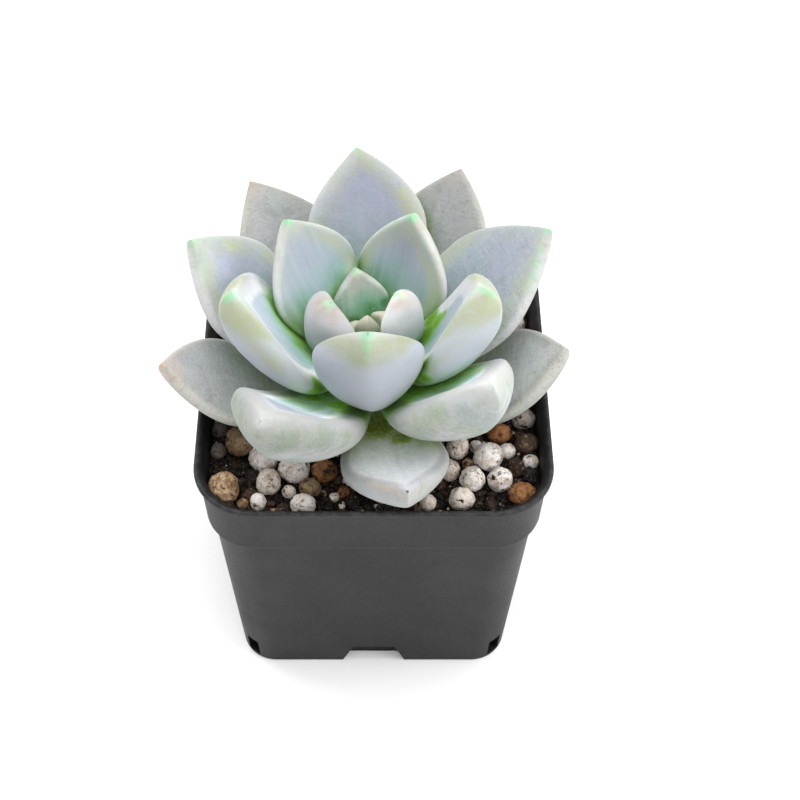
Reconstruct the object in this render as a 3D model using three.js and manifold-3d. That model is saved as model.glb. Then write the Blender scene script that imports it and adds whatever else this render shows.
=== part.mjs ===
// Potted draco pachyveria: a thick-leaved succulent rosette growing in a square black
// plastic nursery pot, with pale gravel pellets lying on the growing mix.
// Units are millimetres, +Z is up. The origin is the middle of the pot's underside, which
// stands on the ground plane, and the pot's sides face -Y (front), +X, +Y and -X.
import * as THREE from 'three';
import { mergeVertices } from 'three/addons/utils/BufferGeometryUtils.js';
import { ParametricGeometry } from 'three/addons/geometries/ParametricGeometry.js';
import Module from 'manifold-3d';

// ---------------------------------------------------------------- driving dimensions
const POT_RIM_WIDTH = 70.0;        // outside of the lip
const POT_HEIGHT = 65.1;
const POT_RIM_CORNER = 11.8;       // corner radius of the lip
const COLLAR_TOP_WIDTH = 68.6;     // collar band just under the lip
const COLLAR_TOP_CORNER = 12.0;
const COLLAR_BOTTOM_WIDTH = 66.85;
const COLLAR_BOTTOM_CORNER = 10.1;
const COLLAR_HEIGHT = 14.04;
const BODY_TOP_WIDTH = 64.4;
const BODY_TOP_CORNER = 9.0;
const BODY_BOTTOM_WIDTH = 58.1;
const BODY_BOTTOM_CORNER = 7.5;
const POT_WALL = 1.1;
const POT_FLOOR = 2.0;
const LIP_THICKNESS = 1.2;
const LIP_INNER_WIDTH = 67.8;
const NOTCH_WIDTH = 14.0;          // flared notch under the middle of each side
const NOTCH_TOP_WIDTH = 9.0;
const NOTCH_HEIGHT = 6.6;
const NOTCH_DEPTH = 2.5;
const DRAIN_SLOT_WIDTH = 3.2;      // drain slot through each bottom corner
const DRAIN_SLOT_BASE = 1.2;
const DRAIN_SLOT_TOP = 7.0;
const DRAIN_SLOT_ANGLES = [49, 131, 229, 311];   // on the corner's arc, from +X
const SOIL_LEVEL = 57.2;           // 7.9 mm under the rim, the pellets lie on it
const CLEARANCE = 0.3;             // gap between neighbouring solids
const LEAF_UPPER_POWER = 3.0;      // roundness of the section above and below that line
const LEAF_LOWER_POWER = 2.3;
const LEAF_KEEL = 0.35;
const ROSETTE_AXIS = new THREE.Vector2(-1.0, 1.0);
const STEM_PROFILE = [             // radius, height of the root crown and stem
  [0, 50.0], [3.4, 50.4], [4.6, 54.0], [4.2, 57.0], [3.5, 60.0], [3.4, 66.0],
  [3.0, 69.0], [1.9, 71.6], [0.8, 73.6], [0, 74.3],
];

// Leaves, innermost first. Columns: name, azimuth (deg from +X, counter-clockwise seen from
// above), distance of the leaf base from the rosette axis, base height, length, elevation at
// the base and at the tip (deg), greatest half width, where along the length it is widest,
// thickness, cupping of the upper face, roll (deg), sideways bend (deg), tip shape, relative
// base width, share of the thickness above the rim line.
const LEAVES = [
  ['bud_leaf_1', 264.22, 0.73, 75.46, 8.44, 64.35, 105.69, 2.53, 0.571, 2.46, 0.06, 0.07, 0.21, 1.81, 0.39, 0.34],
  ['bud_leaf_2', 35.06, 0.93, 74.66, 5.52, 56.39, 94.36, 2.77, 0.576, 2.68, 0.056, 2.64, 2.93, 1.89, 0.42, 0.34],
  ['bud_leaf_3', 166.02, 0.8, 74.34, 4.34, 55.53, 93.91, 2.24, 0.576, 2.57, 0.055, 1.35, 1.43, 1.91, 0.4, 0.34],
  ['inner_leaf_1', 104.05, 1.62, 73.37, 13.69, 43.25, 79.48, 5.73, 0.526, 4.42, 0.128, 0.82, 1.75, 1.58, 0.41, 0.32],
  ['inner_leaf_3', 332.63, 2.45, 73.79, 16.72, 52.17, 117.62, 5.55, 0.69, 6.2, 0.252, 1.64, 1.48, 2.22, 0.33, 0.37],
  ['inner_leaf_2', 203.79, 2.81, 73.86, 15.43, 46, 110.84, 6.61, 0.75, 6.93, 0.263, 8.81, -2.17, 2.12, 0.28, 0.33],
  ['inner_leaf_4', 270.22, 2.07, 73.46, 11.73, 36.61, 89.89, 4.91, 0.58, 4.63, 0.062, 0.86, 0.36, 1.89, 0.42, 0.34],
  ['third_ring_leaf_5', 270.79, 3.9, 71.47, 35.07, 30.72, 94.06, 10.34, 0.725, 8.31, 0.22, 5.7, -7.09, 2.32, 0.33, 0.32],
  ['third_ring_leaf_3', 201.56, 4.35, 70.33, 36.15, 31.63, 79.31, 14.28, 0.555, 7.65, 0.206, -2.07, 1.23, 1.86, 0.35, 0.39],
  ['third_ring_leaf_4', 331.74, 4.18, 71.86, 34.9, 36.65, 86.19, 11.63, 0.598, 8.63, 0.214, 9.37, -4.76, 1.98, 0.36, 0.4],
  ['third_ring_leaf_2', 58.89, 2.46, 70.34, 28.73, 37.24, 92.29, 10.56, 0.495, 5.26, 0.025, -6.25, 1.62, 1.69, 0.44, 0.35],
  ['third_ring_leaf_1', 143.47, 2.74, 71.39, 29.71, 40.53, 76.97, 11.78, 0.528, 5.26, 0.122, 2.92, -2.23, 1.71, 0.44, 0.34],
  ['second_ring_leaf_4', 243.67, 4.75, 67.76, 43.05, 17.15, 65.42, 11.82, 0.712, 9.87, 0.273, 4.25, -7.04, 2.1, 0.42, 0.51],
  ['second_ring_leaf_5', 308.83, 5.28, 68.52, 39.58, 20.38, 69.93, 12.2, 0.63, 9.95, 0.227, -2.22, -2.21, 1.69, 0.39, 0.43],
  ['second_ring_leaf_3', 162.21, 4.99, 67.9, 39.23, 22.63, 60.46, 11.88, 0.628, 7.03, 0.071, -4.27, 5.96, 1.65, 0.37, 0.38],
  ['second_ring_leaf_2', 18.72, 4.57, 68.57, 40.54, 30.04, 53.11, 13.1, 0.601, 6.88, 0.093, 0.03, -3.22, 1.71, 0.4, 0.35],
  ['second_ring_leaf_1', 89.01, 3.71, 68.95, 41.17, 21.44, 46.34, 12.33, 0.603, 7.06, 0.168, 7.65, 14.24, 1.9, 0.36, 0.34],
  ['lowest_leaf_5', 281.3, 4.66, 66.16, 36.59, -8.95, 47.57, 10.43, 0.594, 6.99, 0.055, 2.1, -2.96, 1.94, 0.32, 0.3],
  ['lowest_leaf_3', 195.58, 4.72, 64.59, 39.78, 3.12, 46.53, 10.63, 0.617, 6.12, 0.048, -3.88, -1.11, 1.95, 0.4, 0.34],
  ['lowest_leaf_4', 342.76, 4.36, 64.82, 39.16, 3.92, 54.54, 11.34, 0.585, 6.31, 0.076, 3.85, 13.02, 2.07, 0.37, 0.34],
  ['lowest_leaf_1', 122.1, 9.91, 67.83, 36.96, 16.96, 33.65, 11.2, 0.599, 5.74, 0.104, 2.95, 6.54, 1.67, 0.2, 0.33],
  ['lowest_leaf_2', 61.68, 9.27, 68.09, 37.17, 12.79, 48.52, 10.91, 0.622, 5.66, 0.124, -8.35, 6.73, 1.69, 0.22, 0.39],
];

// Gravel pellets: name, centre x, y, z, radius, kind.
const PEBBLES = [
  ['pebble_01', -31.02, -10.1, 59.24, 1.69, 'grey'],
  ['pebble_02', -26.55, -14.46, 60.89, 2.85, 'rust'],
  ['pebble_03', -31.03, -15.4, 59.22, 1.67, 'grey'],
  ['pebble_04', -21.79, -18.08, 60.28, 2.73, 'white'],
  ['pebble_05', -15.68, -20.66, 60.42, 2.82, 'white'],
  ['pebble_06', -9.73, -20.99, 59.96, 2.33, 'rust'],
  ['pebble_07', -29.27, -25.1, 60.34, 2.79, 'tan'],
  ['pebble_08', -20.61, -23.63, 60.07, 2.52, 'pink'],
  ['pebble_09', -22.54, -27.86, 59.19, 1.63, 'white'],
  ['pebble_10', -25.55, -27.94, 58.61, 1.06, 'tan'],
  ['pebble_11', -12.53, -24.66, 59.48, 1.93, 'tan'],
  ['pebble_12', -13.69, -29.11, 59.9, 2.3, 'white'],
  ['pebble_13', -16.62, -25.26, 58.9, 1.35, 'pink'],
  ['pebble_14', 16.73, -15.2, 60.18, 2.36, 'pink'],
  ['pebble_15', 20.54, -14.19, 58.93, 1.38, 'white'],
  ['pebble_16', 25.29, -11.44, 59.77, 2.18, 'rust'],
  ['pebble_17', 22.68, -17.8, 60.63, 2.74, 'white'],
  ['pebble_18', 26.63, -15.43, 59.22, 1.67, 'white'],
  ['pebble_19', 30.59, -14.09, 59.83, 2.17, 'tan'],
  ['pebble_20', 30.25, -7.67, 59.75, 2.2, 'pink'],
  ['pebble_21', 31.13, -18.12, 59.12, 1.57, 'white'],
  ['pebble_22', 14.97, -20.56, 59.69, 2.14, 'pink'],
  ['pebble_23', 19.37, -22.89, 60.01, 2.44, 'white'],
  ['pebble_24', 24.81, -23.09, 60.12, 2.57, 'white'],
  ['pebble_25', 28.94, -26.38, 59.86, 2.31, 'rust'],
  ['pebble_26', 17.13, -27.55, 59.85, 2.3, 'pink'],
  ['pebble_27', 10.58, -28.1, 59.18, 1.63, 'pink'],
  ['pebble_28', 18.69, -18.41, 58.82, 1.27, 'tan'],
  ['pebble_29', -26, 22, 60.15, 2.6, 'white'],
  ['pebble_30', -14, 28, 59.95, 2.4, 'rust'],
  ['pebble_31', 2, 29, 60.25, 2.7, 'white'],
  ['pebble_32', 17, 27.5, 60.05, 2.5, 'tan'],
  ['pebble_33', 27, 21, 60.15, 2.6, 'white'],
  ['pebble_34', -29, 4, 59.95, 2.4, 'tan'],
];

// ---------------------------------------------------------------- solids
const wasm = await Module();
wasm.setup();

const POSITION_GRID = 1e5;

/** A manifold solid from a closed three.js geometry. */
function solidOf(geometry) {
  let g = geometry.clone();
  for (const name of Object.keys(g.attributes)) if (name !== 'position') g.deleteAttribute(name);
  const p = g.attributes.position;
  for (let i = 0; i < p.count; i++) {
    p.setXYZ(i, ...[p.getX(i), p.getY(i), p.getZ(i)].map((v) => Math.round(v * POSITION_GRID) / POSITION_GRID));
  }
  g = mergeVertices(g, 1e-4);
  const index = g.index.array;
  const tris = [];
  for (let i = 0; i < index.length; i += 3) {
    const [a, b, c] = [index[i], index[i + 1], index[i + 2]];
    if (a !== b && b !== c && c !== a) tris.push(a, b, c);
  }
  const solid = new wasm.Manifold(new wasm.Mesh({
    numProp: 3,
    vertProperties: new Float32Array(g.attributes.position.array),
    triVerts: new Uint32Array(tris),
  }));
  return solid;
}

/** The largest body of a solid, when a cut has left crumbs beside it. */
function largest(solid) {
  const bodies = solid.decompose();
  return bodies.sort((a, b) => b.volume() - a.volume())[0];
}

/** A three.js geometry of a solid, with flat faces. */
function geometryOf(solid) {
  const mesh = solid.getMesh();
  const n = mesh.numProp;
  const count = mesh.vertProperties.length / n;
  const pos = [];
  for (let i = 0; i < count; i++) {
    pos.push(new THREE.Vector3(mesh.vertProperties[i * n], mesh.vertProperties[i * n + 1], mesh.vertProperties[i * n + 2]));
  }
  const g = new THREE.BufferGeometry();
  g.setAttribute('position', new THREE.Float32BufferAttribute(pos.flatMap((v) => [v.x, v.y, v.z]), 3));
  g.setIndex(Array.from(mesh.triVerts));
  const flat = g.toNonIndexed();
  flat.computeVertexNormals();
  return flat;
}

const root = new THREE.Group();
function addPiece(name, solid, colour, roughness) {
  const material = new THREE.MeshStandardMaterial({ color: new THREE.Color(colour), roughness, metalness: 0 });
  const mesh = new THREE.Mesh(geometryOf(solid), material);
  mesh.name = name;
  root.add(mesh);
}

// ---------------------------------------------------------------- pot
const CORNER_STEPS = 5;
const RING_POINTS = 4 * (CORNER_STEPS + 1);

/** Point k of a rounded square of the given width and corner radius. */
function roundedSquarePoint(k, width, radius, target, z) {
  const corner = Math.floor(k / (CORNER_STEPS + 1)) % 4;
  const step = k % (CORNER_STEPS + 1);
  const angle = (corner + step / CORNER_STEPS) * Math.PI / 2;
  const c = width / 2 - radius;
  const sx = corner === 0 || corner === 3 ? 1 : -1;
  const sy = corner < 2 ? 1 : -1;
  target.set(sx * c + radius * Math.cos(angle), sy * c + radius * Math.sin(angle), z);
}

/** Closed loft through rounded squares [z, width, corner radius], bottom first. */
function loft(rings) {
  const rows = [[rings[0][0], 0, 0], ...rings, [rings[rings.length - 1][0], 0, 0]];
  const geometry = new ParametricGeometry((u, v, target) => {
    const [z, width, radius] = rows[Math.round(v * (rows.length - 1))];
    roundedSquarePoint(Math.round(u * RING_POINTS) % RING_POINTS, width, radius, target, z);
  }, RING_POINTS, rows.length - 1);
  return solidOf(geometry);
}

const collarBase = POT_HEIGHT - COLLAR_HEIGHT;
const potOutside = loft([
  [0, BODY_BOTTOM_WIDTH - 1.0, BODY_BOTTOM_CORNER - 0.5],
  [0.6, BODY_BOTTOM_WIDTH, BODY_BOTTOM_CORNER],
  [collarBase, BODY_TOP_WIDTH, BODY_TOP_CORNER],
  [collarBase + 0.05, COLLAR_BOTTOM_WIDTH - 0.8, COLLAR_BOTTOM_CORNER - 0.4],
  [collarBase + 0.6, COLLAR_BOTTOM_WIDTH, COLLAR_BOTTOM_CORNER],
  [POT_HEIGHT - LIP_THICKNESS - 0.1, COLLAR_TOP_WIDTH, COLLAR_TOP_CORNER],
  [POT_HEIGHT - LIP_THICKNESS, POT_RIM_WIDTH - 0.5, POT_RIM_CORNER - 0.25],
  [POT_HEIGHT - LIP_THICKNESS + 0.35, POT_RIM_WIDTH, POT_RIM_CORNER],
  [POT_HEIGHT - 0.35, POT_RIM_WIDTH, POT_RIM_CORNER],
  [POT_HEIGHT, POT_RIM_WIDTH - 0.6, POT_RIM_CORNER - 0.3],
]);

/** Inside of the pot, shrunk by gap: width and corner radius by height. */
function insideRings(gap, top, bottom) {
  const rings = [
    [POT_FLOOR, BODY_BOTTOM_WIDTH - 2 * POT_WALL + 0.2, BODY_BOTTOM_CORNER - POT_WALL],
    [collarBase - 1.0, BODY_TOP_WIDTH - 2 * POT_WALL, BODY_TOP_CORNER - POT_WALL],
    [collarBase + 1.1, COLLAR_BOTTOM_WIDTH - 2 * POT_WALL + 0.05, COLLAR_BOTTOM_CORNER - POT_WALL],
    [POT_HEIGHT - LIP_THICKNESS, COLLAR_TOP_WIDTH - 2 * POT_WALL, COLLAR_TOP_CORNER - POT_WALL],
    [POT_HEIGHT, LIP_INNER_WIDTH, COLLAR_TOP_CORNER - POT_WALL],
  ];
  const at = (z) => {
    if (z <= rings[0][0]) return [z, rings[0][1], rings[0][2]];
    for (let i = 1; i < rings.length; i++) {
      if (z <= rings[i][0]) {
        const t = (z - rings[i - 1][0]) / (rings[i][0] - rings[i - 1][0]);
        return [z, THREE.MathUtils.lerp(rings[i - 1][1], rings[i][1], t), THREE.MathUtils.lerp(rings[i - 1][2], rings[i][2], t)];
      }
    }
    const last = rings[rings.length - 1];
    return [z, last[1], last[2]];
  };
  const zs = [bottom, ...rings.map((r) => r[0]).filter((z) => z > bottom + 0.01 && z < top - 0.01), top];
  return zs.map(at).map(([z, w, r]) => [z, w - 2 * gap, Math.max(r - gap, 0.5)]);
}
const potInside = loft(insideRings(0, POT_HEIGHT + 1, POT_FLOOR));

/** Trapezoid block under one side: half width at the ground, half width at the top, height,
 *  and the stretch along the direction that points out of the side. */
function notchBlock(halfBottom, halfTop, height, from, to, side, base = -1) {
  const shape = new THREE.Shape();
  const slope = (halfBottom - halfTop) / height;
  shape.moveTo(-(halfBottom - slope * base), base);
  shape.lineTo(halfBottom - slope * base, base);
  shape.lineTo(halfTop, height);
  shape.lineTo(-halfTop, height);
  shape.closePath();
  const g = new THREE.ExtrudeGeometry(shape, { depth: to - from, bevelEnabled: false, steps: 1 });
  g.translate(0, 0, from);
  g.rotateX(Math.PI / 2);                 // extrusion now runs along -Y
  g.rotateZ(side * Math.PI / 2);
  return solidOf(g);
}
const bottomHalf = BODY_BOTTOM_WIDTH / 2;
let pot = potOutside.subtract(potInside);
const notchRooms = [];
for (let side = 0; side < 4; side++) {
  const cover = notchBlock(NOTCH_WIDTH / 2 + POT_WALL, NOTCH_TOP_WIDTH / 2 + POT_WALL, NOTCH_HEIGHT + POT_WALL,
    bottomHalf - NOTCH_DEPTH - POT_WALL, bottomHalf - 0.6, side, 0.2);
  notchRooms.push(notchBlock(NOTCH_WIDTH / 2 + POT_WALL + CLEARANCE, NOTCH_TOP_WIDTH / 2 + POT_WALL + CLEARANCE,
    NOTCH_HEIGHT + POT_WALL + CLEARANCE, bottomHalf - NOTCH_DEPTH - POT_WALL - CLEARANCE, bottomHalf + 2, side, -1));
  pot = pot.add(cover);
}
for (let side = 0; side < 4; side++) {
  pot = pot.subtract(notchBlock(NOTCH_WIDTH / 2, NOTCH_TOP_WIDTH / 2, NOTCH_HEIGHT,
    bottomHalf - NOTCH_DEPTH, bottomHalf + 4, side));
  const slot = new THREE.BoxGeometry(4, DRAIN_SLOT_WIDTH, DRAIN_SLOT_TOP - DRAIN_SLOT_BASE);
  slot.translate(BODY_BOTTOM_CORNER, 0, (DRAIN_SLOT_TOP + DRAIN_SLOT_BASE) / 2);
  slot.rotateZ(DRAIN_SLOT_ANGLES[side] * Math.PI / 180);
  const cornerCentre = bottomHalf - BODY_BOTTOM_CORNER;
  slot.translate(cornerCentre * (side === 0 || side === 3 ? 1 : -1), cornerCentre * (side < 2 ? 1 : -1), 0);
  pot = pot.subtract(solidOf(slot));
}
addPiece('pot', pot, 0x2b2c2e, 0.55);

// ---------------------------------------------------------------- stem with root crown
function stemSolid(grow) {
  const points = STEM_PROFILE.map(([r, z], i) => {
    const end = i === 0 ? -grow : i === STEM_PROFILE.length - 1 ? grow : 0;
    return new THREE.Vector2(r > 0 ? r + grow : 0, z + end);
  });
  const g = new THREE.LatheGeometry(points, 12);
  g.rotateX(Math.PI / 2);
  g.translate(ROSETTE_AXIS.x, ROSETTE_AXIS.y, 0);
  const solid = solidOf(g);
  return solid;
}
const stem = stemSolid(0);
const stemRoom = stemSolid(CLEARANCE);

// ---------------------------------------------------------------- leaves
const DEG = Math.PI / 180;
const STATIONS = [0, 0.1, 0.24, 0.38, 0.52, 0.65, 0.76, 0.85, 0.92, 0.965, 0.99, 1];
const BUD_STATIONS = [0, 0.2, 0.45, 0.68, 0.86, 0.96, 1];
const SECTION_ABOVE = [1, 0.93, 0.72, 0.38, 0, -0.38, -0.72, -0.93];
const SECTION_BELOW = [-1, -0.9, -0.64, -0.3, 0, 0.3, 0.64, 0.9];
const SECTION_POINTS = SECTION_ABOVE.length + SECTION_BELOW.length;
const MIDLINE_STEPS = 80;

/** Midline of a leaf: points and directions at equal steps along its length. */
function midline([, azimuth, base, height, length, e0, e1, , , , , , bend]) {
  const points = [];
  const p = new THREE.Vector3(
    ROSETTE_AXIS.x + base * Math.cos(azimuth * DEG), ROSETTE_AXIS.y + base * Math.sin(azimuth * DEG), height);
  let last = null;
  for (let i = 0; i <= MIDLINE_STEPS; i++) {
    const s = i / MIDLINE_STEPS;
    const e = (e0 + (e1 - e0) * s) * DEG;
    const a = (azimuth + bend * s * s) * DEG;
    const t = new THREE.Vector3(Math.cos(e) * Math.cos(a), Math.cos(e) * Math.sin(a), Math.sin(e));
    if (last) p.addScaledVector(last.clone().add(t), 0.5 * length / MIDLINE_STEPS);
    points.push({ p: p.clone(), t, e, a });
    last = t;
  }
  return points;
}

/** Leaf surface: stations along the midline, a flat-topped, keeled section at each. */
function leafSolid(leaf, grow) {
  const [name, , , , , , , width, widest, thickness, cup, roll, , tipPower, baseWidth, upper] = leaf;
  const bud = name.startsWith('bud');
  const stations = bud ? BUD_STATIONS : STATIONS;
  const line = midline(leaf);
  const rows = [];
  const ring = (s, shift, collapse) => {
    const x = s * MIDLINE_STEPS;
    const i = Math.min(Math.floor(x), MIDLINE_STEPS - 1);
    const f = x - i;
    const c = line[i].p.clone().lerp(line[i + 1].p, f);
    const t = line[i].t.clone().lerp(line[i + 1].t, f).normalize();
    const a = THREE.MathUtils.lerp(line[i].a, line[i + 1].a, f);
    const e = THREE.MathUtils.lerp(line[i].e, line[i + 1].e, f);
    const across = new THREE.Vector3(-Math.sin(a), Math.cos(a), 0);
    const up = new THREE.Vector3(-Math.sin(e) * Math.cos(a), -Math.sin(e) * Math.sin(a), Math.cos(e));
    const r = roll * DEG;
    const b = across.clone().multiplyScalar(Math.cos(r)).addScaledVector(up, Math.sin(r));
    const n = across.clone().multiplyScalar(-Math.sin(r)).addScaledVector(up, Math.cos(r));
    c.addScaledVector(t, shift);
    const lo = Math.min(s / widest, 1);
    const hi = Math.max((s - widest) / (1 - widest), 0);
    const w = width * (s < widest ? baseWidth + (1 - baseWidth) * Math.sin(Math.PI / 2 * lo) ** 1.35 : 1 - hi ** tipPower);
    const end = Math.sqrt(Math.max(0, 1 - Math.max((s - 0.62) / 0.38, 0) ** 2.8));
    const th = thickness * (0.5 + 0.5 * Math.sin(Math.PI / 2 * Math.min(s / 0.6, 1))) * end;
    const drop = -upper * thickness * (1 - end) - upper * th;
    rows.push({ c, b, n, w, th, drop, collapse });
  };
  ring(0, -grow, true);
  stations.forEach((s, i) => {
    if (i === stations.length - 1) ring(s, grow, true);
    else ring(s, i === 0 ? -grow : 0, false);
  });
  const g = new ParametricGeometry((u, v, target) => {
    const row = rows[Math.round(v * (rows.length - 1))];
    const k = Math.round(u * SECTION_POINTS) % SECTION_POINTS;
    target.copy(row.c);
    if (row.collapse) {
      target.addScaledVector(row.n, row.drop);
      return;
    }
    const above = k < SECTION_ABOVE.length;
    const x = above ? SECTION_ABOVE[k] : SECTION_BELOW[k - SECTION_ABOVE.length];
    const full = (power) => Math.max(1 - Math.abs(x) ** power, 0) ** (1 / power);
    const lift = above
      ? (upper * row.th + grow) * full(LEAF_UPPER_POWER)
      : -(1 - upper) * row.th * ((1 - LEAF_KEEL) * full(LEAF_LOWER_POWER)
        + LEAF_KEEL * Math.max(1 - Math.sqrt(x * x + 0.01), 0) / 0.9) - grow * full(2);
    target.addScaledVector(row.b, (row.w + grow) * x)
      .addScaledVector(row.n, row.drop + lift + cup * row.w * x * x);
  }, SECTION_POINTS, rows.length - 1);
  return solidOf(g);
}

const leafColours = { bud_: 0xb9b0a2, inne: 0xa9c0b0, thir: 0xb3c4c6, seco: 0xb5c0c4, lowe: 0xa9a9a2 };
const finished = [];
for (const leaf of LEAVES) {
  let body = leafSolid(leaf, 0);
  if (body.volume() < 0) throw new Error(`${leaf[0]} is inside out`);
  body = body.subtract(stemRoom);
  for (const other of finished) body = body.subtract(other.room);
  body = largest(body);
  finished.push({ name: leaf[0], body, room: leafSolid(leaf, CLEARANCE) });
  addPiece(leaf[0], body, leafColours[leaf[0].slice(0, 4)], 0.6);
}
addPiece('stem', stem, 0x7c7a5c, 0.8);

// ---------------------------------------------------------------- gravel pellets
const pebbleColours = { white: 0xcfcac2, pink: 0xbfb0a2, tan: 0xa58a6c, rust: 0x8c5a36, grey: 0x6f675e };
/** A rounded, slightly uneven pellet. */
function pebbleSolid(index, x, y, z, r, grow) {
  const g = new THREE.IcosahedronGeometry(1, 1);
  const p = g.attributes.position;
  const v = new THREE.Vector3();
  for (let i = 0; i < p.count; i++) {
    v.fromBufferAttribute(p, i).normalize();
    const bump = 1 + 0.035 * Math.sin(3.1 * v.x + 2.3 * v.y + 1.7 * index) + 0.025 * Math.sin(4.3 * v.z - 2.9 * v.y + 2.6 * index);
    v.multiplyScalar((r * bump) + grow);
    v.z *= 0.94;
    p.setXYZ(i, v.x + x, v.y + y, v.z + z);
  }
  return solidOf(g);
}
let soil = loft(insideRings(CLEARANCE, SOIL_LEVEL, POT_FLOOR + CLEARANCE));
for (const cover of notchRooms) soil = soil.subtract(cover);
soil = soil.subtract(stemRoom);
PEBBLES.forEach(([name, x, y, z, r, kind], i) => {
  let body = pebbleSolid(i, x, y, z, r, 0);
  for (const leaf of finished) {
    if (leaf.room.intersect(body).volume() > 0) body = body.subtract(leaf.room);
  }
  addPiece(name, largest(body), pebbleColours[kind], 0.85);
});
for (const leaf of finished) {
  if (leaf.room.intersect(soil).volume() > 0) soil = soil.subtract(leaf.room);
}
addPiece('soil', largest(soil), 0x30241c, 0.95);

export default root;
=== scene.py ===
import math
import random

import bpy
import numpy as np
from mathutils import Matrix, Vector, noise
from mathutils.bvhtree import BVHTree


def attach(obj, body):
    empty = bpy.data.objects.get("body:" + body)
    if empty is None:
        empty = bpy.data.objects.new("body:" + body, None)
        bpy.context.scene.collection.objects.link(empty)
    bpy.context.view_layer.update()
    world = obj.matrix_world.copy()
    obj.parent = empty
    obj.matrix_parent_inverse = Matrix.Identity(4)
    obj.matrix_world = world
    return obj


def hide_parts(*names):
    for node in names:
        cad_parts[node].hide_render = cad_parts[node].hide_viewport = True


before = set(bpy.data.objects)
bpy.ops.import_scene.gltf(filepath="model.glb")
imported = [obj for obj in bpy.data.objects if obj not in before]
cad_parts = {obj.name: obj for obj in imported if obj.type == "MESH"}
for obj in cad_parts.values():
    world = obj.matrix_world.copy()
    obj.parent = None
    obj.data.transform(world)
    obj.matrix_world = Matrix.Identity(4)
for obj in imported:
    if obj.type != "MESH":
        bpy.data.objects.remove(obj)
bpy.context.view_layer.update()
MM = 0.001
scene = bpy.context.scene
coll = scene.collection

# ------------------------------------------------------------------ tables
AXIS = np.array([-1.0, 1.0, 0.0])
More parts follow.
